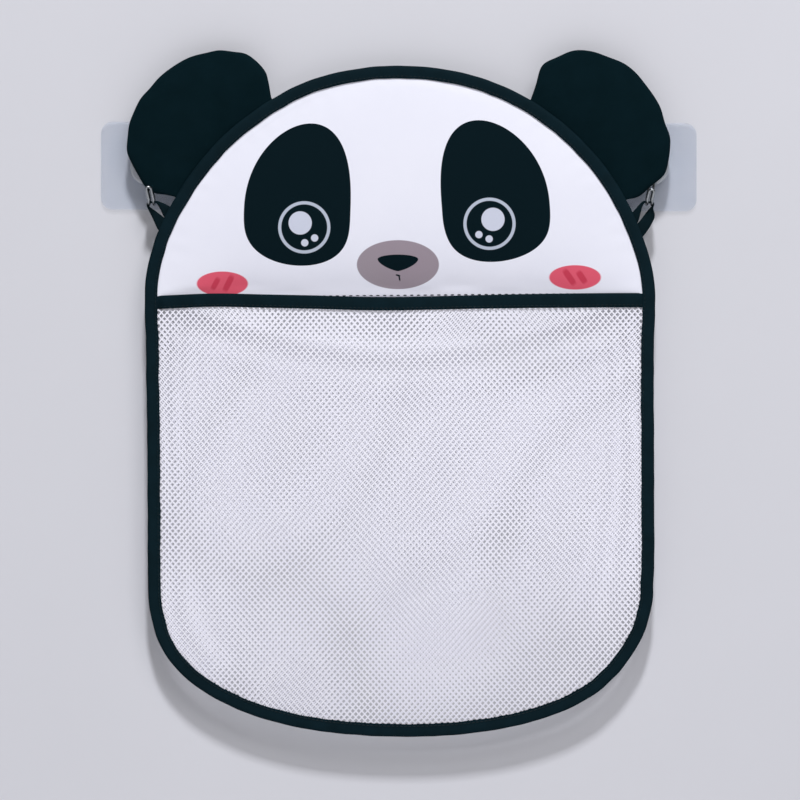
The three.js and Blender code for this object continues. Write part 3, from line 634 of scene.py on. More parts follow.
# %% Head case
FACE_TUCK, FACE_HEM, HEAD_COLUMNS, HEAD_ROWS = 4.6, 4.8, 73, 53
start_angle = math.asin((FACE_BOTTOM - FACE_HEM - HEAD_BASE) / (HEAD_RISE - FACE_TUCK))
head_border = head_arc(np.linspace(start_angle, math.pi - start_angle, 400), FACE_TUCK)
flat = patch(head_border, head_border[[-1, 0]], HEAD_COLUMNS, HEAD_ROWS)
flat_x, flat_z = flat[..., 0], flat[..., 1]
front = at(flat_x, FRONT_LAYER + 0.25 + 0.8 * face_swell(flat_x, flat_z), flat_z)
back = at(flat_x, BACK_LAYER + 0.75, flat_z)
back[0], back[-1], back[:, 0], back[:, -1] = front[0], front[-1], front[:, 0], front[:, -1]
head_pad = sew(joined("head_pad", [lay_grid("front", front), lay_grid("back", back)]))
held = np.flatnonzero(millimetres(head_pad)[1] < FRONT_LAYER + 0.3)
puff(head_pad, held, pressure=1.2, frames=16, most=2.0)
apply_modifier(head_pad, "SUBSURF", levels=1, render_levels=1)
print("head case has", len(head_pad.data.vertices), "points,", len(held), "held")

# %% Puckers along its seams
x, forward, z = millimetres(head_pad)
outside, angle = round_head(x, z)
from_rim, round_rim, from_mouth = -outside - BINDING, angle * HALF_WIDTH, z - FACE_BOTTOM
pull = np.sin(round_rim / 2.3) * np.sin(round_rim / 17.0 + 1.1) * fading(from_rim, 6.0)
folds = np.sin(x / 9.5 + 0.6 * np.sin(x / 31)) * np.sin(x / 47 + 0.8) * fading(from_mouth, 15.0)
roll = np.sin(x / 41 + z / 63) * np.sin(z / 37 - x / 88)
open_cloth = smooth(from_rim, -1, 5) * (forward > FRONT_LAYER)
forward = forward + open_cloth * (0.22 * pull + 0.45 * folds * smooth(from_mouth, 0, 4) + 0.3 * roll)
move_to(head_pad, at(x, forward, z))
dress(head_pad, face_cloth, "white_cloth", "bag", "face_panel", "face_foam")

# %% [markdown]
# ## The cloth behind the head
#
# From behind, the head is a plain white panel. It is one thin sheet, so it is a single grid with a little wave in
# it, thickened by Solidify.

# %% Back cloth
plain_cloth = Recipe("plain_white_cloth", Roughness=0.85, Specular_IOR_Level=0.2)
plain_shade = plain_cloth.tint((30.0, 4.0, 0.6), (222, 224, 230), (236, 237, 241))
plain_cloth.bump(weave(plain_cloth.x, plain_cloth.z, 0.9) * 0.5 + plain_shade, 0.06, 0.6)
wave = 0.12 * np.sin(flat_x / 21) * np.sin(flat_z / 17)
head_back = lay_grid("head_back_cloth", at(flat_x, BACK_LAYER - 0.3 + wave, flat_z))
apply_modifier(head_back, "SOLIDIFY", thickness=0.5 * MM, offset=0)
sew(head_back)
dress(head_back, plain_cloth, "white_cloth", "bag", "head_backing")

# %% [markdown]
# ## The mesh panels
#
# The pocket and the back are warp-knitted mesh with diamond holes 4 mm wide and 4.5 mm tall. Holes could be
# painted with alpha, but real strands catch light and cast the fine shadow that gives the two layers their
# shimmer. A knitted wale is one yarn that swings left and right and meets its neighbours, so each wale is one
# zigzag strand of four-sided rings. The back panel is laid a little askew, as cloth is, so the two layers fall in
# and out of step over the bag and the shimmer makes soft clouds.

# %% Mesh yarn
yarn = Recipe("white_mesh_yarn", Roughness=0.55, Specular_IOR_Level=0.35)
yarn.tint((60.0, 3.0, 0.6), (241, 241, 251), (248, 248, 254))
yarn.bump(yarn.noise(1500.0, 2.0, 0.5), 0.08, 0.5)

# %% Knit a panel
HOLE_WIDE, HOLE_TALL = 4.0, 4.5
YARN_HALF_WIDE, YARN_HALF_DEEP, OVERLAP = 0.64, 0.26, 0.03
RING_X = np.array([-YARN_HALF_WIDE, 0, YARN_HALF_WIDE, 0])
RING_OUTWARD = np.array([0, YARN_HALF_DEEP, 0, -YARN_HALF_DEEP])
NET_INSET, NET_LOW, SPARE = 4.5, BAG_BOTTOM + 4.6, 12


def waves(kinds, x, z):
    """A sum of slow waves, each given by its reach, its heading in degrees, its size and its start."""
    total = 0
    for reach, heading, size, start in kinds:
        along = x * math.cos(math.radians(heading)) + z * math.sin(math.radians(heading))
        total = total + size * np.sin(along / reach + start)
    return total


def knit(name, top, surface, turn, drift):
    """Zigzag wales inside the binding and below top, turned and drifted. surface gives how far forward."""
    points, faces, count = [], [], 0
    rows = np.arange(-SPARE, int((top - BAG_BOTTOM) / (HOLE_TALL / 2)) + SPARE)
    wales = int(HALF_WIDTH / (HOLE_WIDE / 2)) + SPARE
    corner, after = np.arange(4), (np.arange(4) + 1) % 4
    down = -rows * HOLE_TALL / 2
    for wale in range(-wales, wales):
        column = (wale - OVERLAP + (1 + 2 * OVERLAP) * ((wale + rows) % 2)) * HOLE_WIDE / 2
        x = column * math.cos(turn) - down * math.sin(turn)
        z = top + column * math.sin(turn) + down * math.cos(turn)
        x, z = x + waves(drift[0], x, z), z + waves(drift[1], x, z)
        inside = (np.abs(x) < half_width(z, NET_INSET)) & (z > NET_LOW) & (z <= top)
        edges = np.flatnonzero(np.diff(np.concatenate([[0], inside.astype(int), [0]])))
        for begin, end in zip(edges[::2], edges[1::2]):
            if end - begin < 2:
                continue
            run_x, run_z = x[begin:end, None], z[begin:end, None]
            points.append(at(run_x + RING_X, surface(run_x, run_z) + RING_OUTWARD, run_z).reshape(-1, 3))
            ring = count + 4 * np.arange(end - begin - 1)[:, None]
            quads = np.stack([ring + corner, ring + corner + 4, ring + after + 4, ring + after], -1)
            last = count + 4 * (end - begin - 1)
            faces += quads.reshape(-1, 4).tolist()
            faces += [[count, count + 1, count + 2, count + 3], [last + 3, last + 2, last + 1, last]]
            count = last + 4
    piece = from_faces(name, np.concatenate(points), faces)
    bpy.ops.object.shade_smooth_by_angle(angle=1.4)
    return piece


# %% Lay both panels
POCKET_DRIFT = [[(60.0, 60, 0.5, 0.0)], [(83.0, 0, 0.5, 0.4)]]
BACK_DRIFT = [
    [(24.3, 128, 0.72, 2.9), (25.5, 169, 0.62, 3.84), (44.7, 173, 0.85, 3.67), (58.0, 128, 0.73, 4.28)],
    [(39.8, 45, 1.22, 3.28), (45.4, 143, 1.05, 0.64), (28.4, 115, 0.67, 3.07), (26.1, 157, 0.84, 4.07)],
]


def pocket_surface(x, z):
    slack = 1.0 * np.sin(x / 47 + 0.4) * np.sin(z / 53) + 0.4 * np.sin(x / 19 - z / 71)
    loose = smooth(pocket_swell(x, z), 0, 6) * smooth(BAND_TOP - z, BAND_WIDTH, 5 * BAND_WIDTH)
    return FRONT_LAYER + pocket_swell(x, z) + loose * slack


def back_surface(x, z):
    return BACK_LAYER + 0.25 * np.sin(x / 33) * np.sin(z / 47 + 0.5)


pocket = knit("pocket_net", BAND_TOP - BAND_WIDTH / 2, pocket_surface, math.radians(0.4), POCKET_DRIFT)
dress(pocket, yarn, "white_mesh", "bag", "pocket_mesh")
back_net = knit("back_net", FACE_BOTTOM + 2.5, back_surface, math.radians(0.5), BACK_DRIFT)
dress(back_net, yarn, "white_mesh", "bag", "back_mesh_panel")

# %% [markdown]
# ## The binding
#
# Black tape is folded over the raw edge and sewn through, so its section is a narrow channel with a rounded nose.
# The section is swept round the stations of the outline. Where the needle went in, the tape is drawn down, and
# between two stitches it stands up a little.

# %% Tape finish
tape = Recipe("black_binding_tape", Roughness=0.75, Specular_IOR_Level=0.06)
tape_shade = tape.tint((90.0, 4.0, 0.6), (3, 21, 26), (12, 34, 42))
tape.feed("Roughness", tape_shade * 0.2 + 0.62)
tape.bump(weave(tape.x + tape.z, tape.x - tape.z, 0.8) * 0.5 + tape_shade, 0.09, 0.8)
thread = Recipe("black_sewing_thread", Roughness=0.5, Specular_IOR_Level=0.2)
thread.bump(thread.tint((400.0, 2.0, 0.5), (4, 20, 24), (15, 34, 40)), 0.05, 0.6)

# %% Edge binding
STITCH, STITCH_IN, NEEDLE_REACH = 3.0, 7.3, 1.2


def fold_section(width, half, tape_thick):
    """Points of folded tape round its section: distance in from the fold, then forward."""
    upper = [
        (0.0, 0.0), (0.06, 0.45 * half), (0.3, 0.78 * half), (0.9, 0.97 * half), (0.3 * width, 1.06 * half),
        (0.6 * width, 1.05 * half), (width - 1.5, half), (width - 0.5, 0.98 * half), (width - 0.1, 0.92 * half),
        (width, half - 0.5 * tape_thick), (width - 0.15, half - tape_thick), (1.3, half - tape_thick),
        (0.9, 0.5 * half),
    ]
    lower = [(inset, -forward) for inset, forward in upper[:0:-1]]
    return np.array(upper + [(0.8, 0.0)] + lower)


def needle_dip(depth, along, inset, row_in):
    """How far the needle draws the tape down: most on its row, and at the ends of each stitch."""
    needle = 0.5 + 0.5 * np.cos(2 * np.pi * along / STITCH)
    return depth * math.exp(-(((inset - row_in) / NEEDLE_REACH) ** 2)) * needle


gone = np.arange(len(rim_stations)) * rim_length / len(rim_stations)
ripple = 0.16 * np.sin(gone / 7.3) * np.sin(gone / 29 + 0.7) + 0.1 * np.sin(gone / 3.1 + np.sin(gone / 11))
rings = []
for inset, forward in fold_section(BINDING, BINDING_HALF, 0.5):
    rim_x, rim_z = sewn_rim(rim_stations, inset + ripple * (1 if inset > 4 else 0.6))
    dip = needle_dip(0.28, gone, inset, STITCH_IN) * np.sign(forward)
    rings.append(at(rim_x, SEAM + forward - dip, rim_z))
edge_tape = lay_tube("edge_tape", np.stack(rings, 1), round_trip=True)
dress(edge_tape, tape, "black_tape", "bag", "edge_binding")

# %% [markdown]
# ## The stitches
#
# A lockstitch shows as a row of short raised dashes, and the tape is drawn down at each end of a dash. One dash is
# modelled from a small sphere, and copies of it are laid along the binding, on the front and on the back.

# %% One dash and its copies
DASH_HALF, THREAD_HALF = 0.43 * STITCH, 0.26
dash = primitive("dash", bpy.ops.mesh.primitive_uv_sphere_add, segments=6, ring_count=4, radius=1)
dash_points = places_of(dash)[:, [2, 0, 1]]
dash_faces = [tuple(face.vertices) for face in dash.data.polygons]
bpy.data.objects.remove(dash)


def stitch_row(name, middles, along, out, thread_half=THREAD_HALF):
    """Dashes at places in metres, each with a direction along the row. out is 1 on the front and -1 behind."""
    along = along / np.linalg.norm(along, axis=1, keepdims=True)
    outward = np.tile([0.0, -out, 0.0], (len(middles), 1))
    side = np.cross(outward, along)
    axes = np.stack([along * DASH_HALF, side * thread_half, outward * thread_half], 1) * MM
    points = np.einsum("pk,nkc->npc", dash_points, axes) + middles[:, None]
    count = len(dash_points)
    faces = [[i + n * count for i in face] for n in range(len(middles)) for face in dash_faces]
    return sew(from_faces(name, points.reshape(-1, 3), faces), reach=1e-8)


def sewn_through(name, here, ahead, lift):
    """A row on the front and one behind. here and ahead give the dashes, and places just past them."""
    rows = []
    for out in (1, -1):
        middles, after = (at(x, forward + out * lift, z) for x, forward, z in (here, ahead))
        rows.append(stitch_row(name, middles, after - middles, out))
    dress(joined(name, rows), thread, "black_tape", "bag")


stitch_count = int(rim_length / STITCH)
stitch_at = (np.arange(stitch_count) + 0.5) * len(rim_stations) / stitch_count
stitch_stations = np.interp(stitch_at, np.arange(len(rim_stations)), rim_stations)
(here_x, here_z), (ahead_x, ahead_z) = (sewn_rim(stitch_stations + step, STITCH_IN) for step in (0, 1e-4))
sewn_through("edge_thread", (here_x, SEAM, here_z), (ahead_x, SEAM, ahead_z), BINDING_HALF + 0.02)

# %% [markdown]
# ## The mouth binding
#
# The pocket's mouth is edged with the same tape. It droops a little in the middle and bows forward with the
# pocket, so its section is swept along the mouth instead of round the outline. Behind it, the hem of the face has
# a row of longer stitches, and the drooping mouth bares half of it.

# %% Mouth tape and its stitches
MOUTH_STEP, MOUTH_TUCK, MOUTH_SINK = 1.0, 5.0, 0.8
BAND_SPREAD, BAND_HALF, BAND_ROW = 0.7, 1.25, BAND_WIDTH - 1.5
mouth_end = float(half_width(BAND_TOP, MOUTH_TUCK))
mouth_x = np.linspace(-mouth_end, mouth_end, int(2 * mouth_end / MOUTH_STEP))
MOUTH_LINE = [(-165, -87.9), (-126, -86.5), (-92, -87.3), (-58, -88.1), (-24, -89.1), (0, -89.2), (27, -88.6),
              (61, -87.7), (95, -86.9), (146, -86.1), (165, -86.0)]
mouth_line = spline_through(MOUTH_LINE, 12)
mouth_z = np.interp(mouth_x, mouth_line[:, 0], mouth_line[:, 1])
mouth_wide = 1 + BAND_SPREAD / BAND_WIDTH * smooth(mouth_x, 20, 130)
mouth_forward = FRONT_LAYER + pocket_swell(mouth_x, mouth_z - BAND_WIDTH / 2)
mouth_forward = mouth_forward - MOUTH_SINK * smooth(np.abs(mouth_x), mouth_end - 6, mouth_end - 2)
rings = []
for inset, forward in fold_section(BAND_WIDTH, BAND_HALF, 0.45):
    dip = needle_dip(0.24, mouth_x, inset, BAND_ROW) * np.sign(forward)
    rings.append(at(mouth_x, mouth_forward + forward - dip, mouth_z - inset * mouth_wide))
mouth_tape = lay_tube("mouth_tape", np.stack(rings, 1))
dress(mouth_tape, tape, "black_tape", "bag", "mouth_binding")
dash_x = np.arange(-mouth_end + STITCH, mouth_end - STITCH, STITCH) + 0.5 * STITCH
row_z = mouth_z - BAND_ROW * mouth_wide
here, ahead = ((dash_x + step, *(np.interp(dash_x + step, mouth_x, line) for line in (mouth_forward, row_z)))
               for step in (0, 0.1))
sewn_through("mouth_thread", here, ahead, BAND_HALF + 0.02)

# %% The hem of the face
HEM_STITCH, HEM_THREAD_HALF = 4.6, 0.42
HEM_ROW = np.array([(-70.0, -88.2), (0.0, -87.6), (60.0, -87.0), (120.0, -86.5)])
hem_x = np.arange(HEM_ROW[0, 0], HEM_ROW[-1, 0], HEM_STITCH)
hem_places = at(hem_x, FRONT_LAYER + 0.5, np.interp(hem_x, HEM_ROW[:, 0], HEM_ROW[:, 1]))
hem_along = np.tile([1.0, 0.0, 0.009], (len(hem_x), 1))
hem_row = stitch_row("hem_thread", hem_places, hem_along, 1, HEM_THREAD_HALF)
dress(hem_row, thread, "black_tape", "bag")

# %% [markdown]
# ## The ears
#
# Each ear is two layers of black cloth sewn right sides together, turned and lightly filled, and its root is
# caught in the head's binding. The turned seam gives its outline a few soft corners, and the two ears differ a
# little, as hand-turned pieces do. The case is laid flat from its outline and then filled by simulation.

# %% Ear cloth
ear_cloth = Recipe("black_ear_cloth", Roughness=0.9, Specular_IOR_Level=0.03, Sheen_Weight=0.03, Sheen_Roughness=0.4)
ear_cloth.feed("Roughness", ear_cloth.tint((55.0, 5.0, 0.65), (2, 19, 23), (9, 29, 35)) * 0.15 + 0.78)
ear_cloth.bump(weave(ear_cloth.x, ear_cloth.z, 0.8) * 0.4 + ear_cloth.noise(700.0, 3.0, 0.6), 0.08, 0.7)

# %% Ear outlines, from the head over the tip and back to the head
EAR_LEFT = [(-86.7, 47.3), (-88.7, 59.3), (-90.4, 64.9), (-96.5, 72.1), (-104.0, 77.2), (-112.1, 78.5),
            (-122.2, 79.4), (-132.3, 77.5), (-143.5, 74.6), (-155.7, 67.7), (-164.7, 60.4), (-170.3, 53.7),
            (-176.4, 47.0), (-180.9, 38.1), (-184.2, 29.1), (-185.2, 19.0), (-185.9, 9.6), (-182.6, 1.2),
            (-177.5, -8.3), (-173.1, -15.2), (-166.9, -18.9), (-160.2, -19.9), (-153.5, -21.1)]
EAR_RIGHT = [(88.6, 46.4), (91.8, 56.0), (96.2, 69.4), (106.3, 74.9), (117.4, 79.2), (126.4, 79.2),
             (133.1, 78.1), (142.1, 74.9), (153.2, 70.4), (161.0, 64.3), (167.8, 56.0), (173.9, 47.5),
             (177.8, 40.3), (180.6, 30.3), (183.9, 21.3), (184.3, 13.5), (182.9, 1.2), (180.6, -6.1),
             (175.6, -10.9), (170.0, -15.4), (165.5, -19.6), (161.0, -22.0), (155.4, -22.9)]

# %% Lay, fill and finish an ear
EAR_TUCK, EAR_SEAM_HALF, EAR_FILL_HALF, EAR_GRID = 1.6, 0.7, 2.4, 41
FOLD_MIDDLE, FOLD_NORMAL = (133.0, 20.5), (0.5075, 0.8617)


def make_ear(name, outline, side, flap_body, *nodes):
    outline = spline_through(outline, 12)
    ends = round_head(*outline[[-1, 0]].T)[1]
    root = head_arc(np.linspace(*ends, 60), EAR_TUCK)
    flat = patch(np.concatenate([root[-1:], outline, root[:1]]), root, EAR_GRID, EAR_GRID)
    x, z = flat[..., 0], flat[..., 1]
    rows, columns = np.meshgrid(*[np.linspace(-1, 1, EAR_GRID)] * 2, indexing="ij")
    dome = np.sqrt(np.clip((1 - rows**2) * (1 - columns**2), 0, 1))
    half = (EAR_SEAM_HALF + EAR_FILL_HALF * dome**0.8) * smooth(round_head(x, z)[0], -4, 14)
    edge = (np.abs(rows) == 1) | (np.abs(columns) == 1)
    half = np.where(edge, 0, np.maximum(half, 0.4))
    layers = [lay_grid(name + "_layer", at(x, SEAM + out * half, z)) for out in (1, -1)]
    ear = sew(joined(name, layers))
    sewn = np.flatnonzero(np.abs(millimetres(ear)[1] - SEAM) < 0.05)
    puff(ear, sewn, pressure=2.2, frames=18, most=1.4)
    apply_modifier(ear, "SUBSURF", levels=1, render_levels=1)
    x, forward, z = millimetres(ear)
    from_head, angle = round_head(x, z)
    along_head = angle * HALF_WIDTH
    gather = np.sin(along_head / 4.1 + np.sin(along_head / 13)) * fading(from_head, 9)
    roll = np.sin(x / 17 + z / 29 + side) * np.sin(z / 13 - x / 41)
    body = np.sign(forward - SEAM) * smooth(np.abs(forward - SEAM), 0, 1.5)
    forward = forward + body * (0.25 * gather + 0.22 * roll)
    move_to(ear, at(x, forward, z))
    dress(ear, ear_cloth, "black_cloth", None, *nodes)
    fold = [at(side * (FOLD_MIDDLE[0] + away * FOLD_NORMAL[0]), SEAM, FOLD_MIDDLE[1] + away * FOLD_NORMAL[1])
            for away in (-5.0, 12.0)]
    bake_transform(ear)


for name, side, outline in (("left", -1, EAR_LEFT), ("right", 1, EAR_RIGHT)):
    nodes = [f"{part}_{name}" for part in ("ear_base", "ear_cover", "ear_wadding")]
    make_ear("ear_pad_" + name, outline, side, "ear_" + name, *nodes)

# %% [markdown]
# ## The strap loops
#
# A flat tape is sewn into the binding at both ends, and its middle is folded over the hook. So its section
# changes along the way: wide and thin at the seam, and narrow and thick in the hook's bend. The tape is swept as
# a tube whose section is worked out at each step. The loops pull both hooks a little towards the bag.

# %% Strap webbing
webbing = Recipe("black_strap_webbing", Roughness=0.75, Specular_IOR_Level=0.05)
webbing_shade = webbing.tint((120.0, 3.0, 0.6), (2, 18, 22), (10, 29, 35))
webbing.bump(weave(webbing.x, webbing.z, 1.1) * 0.6 + webbing_shade, 0.14, 0.9)

# %% Loop over each hook
HOOK_X, HOOK_DROP, HOOK_INNER, WIRE, WIRE_GAP = 172.0, 18.0, 7.0, 0.9, 3.2
PIVOT_FORWARD = 4.4
HOOK_RADIUS = HOOK_INNER + WIRE
TROUGH = PIVOT_FORWARD + HOOK_RADIUS
STRAP_THICK, FOLD_HALF, STRAP_SEAMS = 0.5, 2.6, (-27.5, -35.2, -44.5)
HOOK_LEAN, LEAN_FROM, LEAN_TO = 0.21, {-1: 8.0, 1: 12.5}, 22.6


def pulled_in(z, side):
    """How far towards the bag the hook is pulled. The bottom of its bend, where the loop slides, is level."""
    return HOOK_LEAN * np.clip(-np.asarray(z, float) - LEAN_FROM[side], 0, LEAN_TO - LEAN_FROM[side])


def seam_place(z, away):
    """A place on the head's outline at a height, on the left, and as far outside it as asked."""
    x = -float(half_width(z, 0))
    slope = float(half_width(z + 0.5, 0) - half_width(z - 0.5, 0))
    out = np.array([-1.0, -slope]) / math.hypot(1, slope)
    return np.array([x, z]) + away * out


def make_strap(name, side, drop, bulge, node):
    """From the upper seam over the hook to the lower seam: outer rail, inner rail, forward and half its depth."""
    bend, under, wide = -HOOK_DROP - HOOK_INNER, -HOOK_DROP - HOOK_RADIUS - WIRE, WIRE_GAP / 2 + WIRE
    hook_x = float(pulled_in(bend, side)) - HOOK_X
    left, right = hook_x - wide, hook_x + wide
    seams = [seam_place(z - drop, away) for z in STRAP_SEAMS for away in (-3.0, 0.5)]
    leaving = [(left - 0.3, under - 1.2), (left + 1.0, under - 0.2)]
    slack = [0.7 * np.array(near) + 0.3 * far for near, far in zip(leaving, (seams[5], seams[3]))]
    route = [
        (seams[0], seams[2], SEAM, STRAP_THICK), (seams[1], seams[3], SEAM, STRAP_THICK),
        ((right + 1.2, bend + 1.8), (right + 1.0, bend - 0.1), TROUGH + 0.3, 0.8 * FOLD_HALF),
        ((hook_x + 1.0, bend + 1.5), (hook_x + 1.0, bend + 0.2), TROUGH, FOLD_HALF),
        ((hook_x - 1.2, bend + 1.5), (hook_x - 1.2, bend + 0.2), TROUGH, FOLD_HALF),
        ((left - 0.7, bend + 0.6), (left + 0.2, bend - 0.2), TROUGH, FOLD_HALF),
        ((left - 0.9, under + 0.6), (left + 0.1, under + 0.9), TROUGH, FOLD_HALF),
        (leaving[0], leaving[1], TROUGH, FOLD_HALF),
        (slack[0] - [bulge, 0], slack[1], 0.5 * TROUGH + 0.5 * SEAM, 0.5 * FOLD_HALF),
        (seams[5], seams[3], SEAM, STRAP_THICK), (seams[4], seams[2], SEAM, STRAP_THICK),
    ]
    rows = spline_through([(*outer, *inner, forward, half) for outer, inner, forward, half in route], 14)
    middle, reach = (rows[:, 0:2] + rows[:, 2:4]) / 2, (rows[:, 0:2] - rows[:, 2:4]) / 2
    turn = np.linspace(0, 2 * np.pi, 32, endpoint=False)[None]
    pleat = 1 + 0.08 * np.clip(rows[:, 5:6] / FOLD_HALF, 0, 1) * np.cos(6 * turn)
    wide = pleat * squarish(np.cos(turn), 0.7)
    thick = pleat * rows[:, 5:6] * squarish(np.sin(turn), 0.7)
    x, z = (middle[:, k, None] + wide * reach[:, k, None] for k in (0, 1))
    strap = lay_tube(name, at(-side * x, rows[:, 4:5] + thick, z))
    dress(strap, webbing, "black_tape", "bag", node)


for name, side, drop, bulge in (("left", -1, 0.0, 0.0), ("right", 1, 4.0, 3.2)):
    make_strap("strap_tape_" + name, side, drop, bulge, "strap_loop_" + name)

# %% [markdown]
# ## The clear stickers and their bosses
#
# Each wall hook is a square of clear film under a clear sheet, with a low round boss moulded on it. A square is
# rounded by bevelling its upright edges, and the boss is a cylinder with a softened rim, slotted for the wire by
# a Boolean cut.

# %% Clear plastic
clear = Recipe("clear_sticker_plastic", Roughness=0.12, Specular_IOR_Level=0.5)
clear_shade = clear.tint((45.0, 4.0, 0.6), (150, 178, 214), (176, 202, 236))
clear.feed("Roughness", clear_shade * 0.14 + 0.08)
clear.feed("Alpha", clear_shade * 0.06 + 0.06)
clear.bump(clear.noise(90.0, 2.0, 0.5), 0.05, 0.2)
film = Recipe("sticky_clear_film", Roughness=0.3, Specular_IOR_Level=0.3)
film.feed("Alpha", film.tint((60.0, 3.0, 0.6), (170, 178, 190), (196, 203, 213)) * 0.04 + 0.04)
boss_plastic = Recipe("clear_boss_plastic", Roughness=0.06, Specular_IOR_Level=0.6)
boss_shade = boss_plastic.tint((150.0, 2.0, 0.5), (226, 232, 240), (246, 249, 252))
boss_plastic.feed("Roughness", boss_shade * 0.1 + 0.03)
boss_plastic.feed("Alpha", boss_shade * 0.1 + 0.42)

# %% Sheets
PAD_SIDE, PAD_CORNER, FILM, SHEET = 60.0, 8.0, 0.5, 1.0
SHARP, FLAT_ANGLE = 0.9, 0.6


def box(name, x, forward, z, size):
    size = [length * MM for length in size]
    return primitive(name, bpy.ops.mesh.primitive_cube_add, size=1, location=at(x, forward, z), scale=size)


def pad_sheet(name, x, z, near, far, rim_round):
    sheet = box(name, x, (near + far) / 2, z, (PAD_SIDE, far - near, PAD_SIDE))
    bpy.ops.object.mode_set(mode="EDIT")
    bpy.ops.mesh.select_mode(type="EDGE")
    bpy.ops.mesh.select_all(action="DESELECT")
    bpy.ops.object.mode_set(mode="OBJECT")
    for edge in sheet.data.edges:
        ends = [sheet.data.vertices[i].co for i in edge.vertices]
        edge.select = abs(ends[0].y - ends[1].y) > 1e-5
    bpy.ops.object.mode_set(mode="EDIT")
    bpy.ops.mesh.bevel(offset=PAD_CORNER * MM, segments=10, affect="EDGES")
    bpy.ops.object.mode_set(mode="OBJECT")
    apply_modifier(sheet, "BEVEL", width=rim_round * MM, segments=2, limit_method="ANGLE", angle_limit=SHARP)
    bpy.ops.object.shade_smooth_by_angle(angle=FLAT_ANGLE)
    return sheet


for name, x, z in (("left", -HOOK_X - 2.2, 1.5), ("right", HOOK_X + 1.0, 0.4)):
    under = pad_sheet("sticky_film_" + name, x, z, 0, FILM, 0.08)
    dress(under, film, "adhesive", "wall_pads", "adhesive_film_" + name)
    over = pad_sheet("sticker_sheet_" + name, x, z, FILM, FILM + SHEET, 0.3)
    dress(over, clear, "clear_plastic", "wall_pads", "clear_sheet_" + name)

# %% Bosses
BOSS_RADIUS, BOSS_HEIGHT, BOSS_ROUND, BEND, PIVOT_REACH = 12.0, 5.6, 1.6, 1.5, 7.0
WIRE_PLAY, SLOT_PLAY = 0.3, 0.6


def rod(name, x, forward, radius, depth, vertices, turn):
    return primitive(name, bpy.ops.mesh.primitive_cylinder_add, vertices=vertices, radius=radius * MM,
                     depth=depth * MM, location=at(x, forward, 0), rotation=turn)


def make_boss(name, x, node):
    middle = FILM + SHEET + BOSS_HEIGHT / 2
    boss = rod(name, x, middle, BOSS_RADIUS, BOSS_HEIGHT, 96, (math.pi / 2, 0, 0))
    apply_modifier(boss, "BEVEL", width=BOSS_ROUND * MM, segments=5, limit_method="ANGLE", angle_limit=SHARP)
    slack, deep = WIRE + WIRE_PLAY, 2 * BOSS_HEIGHT
    tall, forward = BOSS_RADIUS + 2 * slack, PIVOT_FORWARD - slack + deep / 2
    cuts = [
        box("leg_slot", x, forward, slack - tall / 2, (WIRE_GAP + 2 * (slack + SLOT_PLAY), deep, tall)),
        box("bend_slot", x, forward, -BEND / 2, (WIRE_GAP + 2 * (BEND + slack), deep, BEND + 2 * slack)),
        rod("bore", x, PIVOT_FORWARD, slack, 2 * (PIVOT_REACH + WIRE_PLAY), 32, (0, math.pi / 2, 0)),
    ]
    for cut in cuts:
        apply_modifier(boss, "BOOLEAN", object=cut, operation="DIFFERENCE", solver="EXACT")
        bpy.data.objects.remove(cut)
    only(boss)
    bpy.ops.object.shade_smooth_by_angle(angle=FLAT_ANGLE)
    dress(boss, boss_plastic, "clear_plastic", "wall_pads", node)


for name, x in (("left", -HOOK_X), ("right", HOOK_X)):
    make_boss("clear_boss_" + name, x, "hook_boss_" + name)

# %% [markdown]
# ## The wire hooks
#
# One steel wire makes the whole hook: its two ends turn in the boss, both legs run down side by side, round the
# bend and up to the tip, where the wire turns back on itself. So the hook is one line with a round bevel.

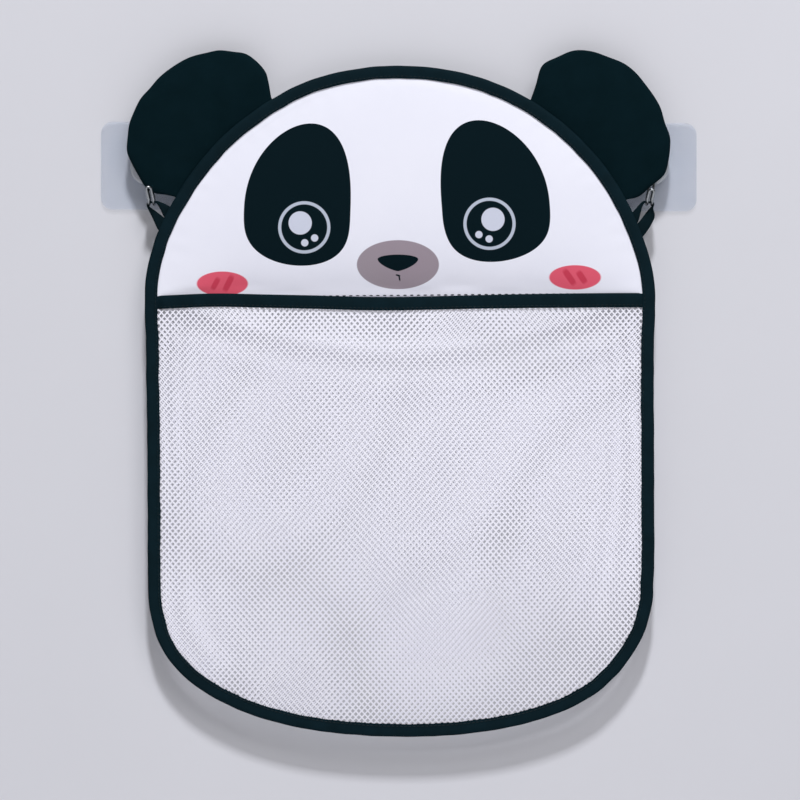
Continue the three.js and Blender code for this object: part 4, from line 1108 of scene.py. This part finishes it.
# %% Steel wire
steel = Recipe("bright_steel_wire", Metallic=1.0, Roughness=0.2)
steel.feed("Roughness", steel.tint((300.0, 3.0, 0.6), (128, 133, 135), (168, 172, 175)) * 0.16 + 0.14)
steel.bump(steel.noise(900.0, 2.0, 0.5), 0.02, 0.3)

# %% Bend a wire for each side
TIP_LEAN, TIP_LENGTH = math.radians(20), {-1: 5.3, 1: 3.3}


def wire_leg(side):
    """One leg, from its pivot end to the middle of the tip: across, forward and up."""
    leg = WIRE_GAP / 2
    points = [(PIVOT_REACH, PIVOT_FORWARD, 0.0)]
    for angle in np.linspace(0, math.pi / 2, 9):
        points.append((leg + BEND * (1 - math.sin(angle)), PIVOT_FORWARD, -BEND * (1 - math.cos(angle))))
    points.append((leg, PIVOT_FORWARD, -LEAN_FROM[side]))
    for angle in np.linspace(math.pi, 2 * math.pi - TIP_LEAN, 30):
        points.append((leg, TROUGH + HOOK_RADIUS * math.cos(angle), -HOOK_DROP + HOOK_RADIUS * math.sin(angle)))
    lean = np.array([0, math.sin(TIP_LEAN), math.cos(TIP_LEAN)])
    base = np.array(points[-1]) + TIP_LENGTH[side] * lean
    for angle in np.linspace(0, math.pi / 2, 9):
        bent = base + leg * math.sin(angle) * lean
        points.append((leg * math.cos(angle), bent[1], bent[2]))
    return np.array(points)


def make_wire(name, side, body, node):
    leg = wire_leg(side)
    x, forward, z = np.concatenate([leg, leg[-2::-1] * [-1, 1, 1]]).T
    places = at(x + side * (HOOK_X - pulled_in(z, side)), forward, z)
    curve = bpy.data.curves.new(name, "CURVE")
    curve.dimensions = "3D"
    curve.bevel_depth, curve.bevel_resolution, curve.use_fill_caps = WIRE * MM, 4, True
    spline = curve.splines.new("POLY")
    spline.points.add(len(places) - 1)
    spline.points.foreach_set("co", np.append(places, np.ones((len(places), 1)), 1).reshape(-1))
    placed(name, curve)
    bpy.ops.object.convert(target="MESH")
    wire = sew(bpy.context.object)
    bpy.ops.object.shade_smooth_by_angle(angle=0.8)
    dress(wire, steel, "steel_wire", body, node)


for name, side in (("left", -1), ("right", 1)):
    make_wire("steel_hook_" + name, side, "hook_" + name, "hook_wire_" + name)
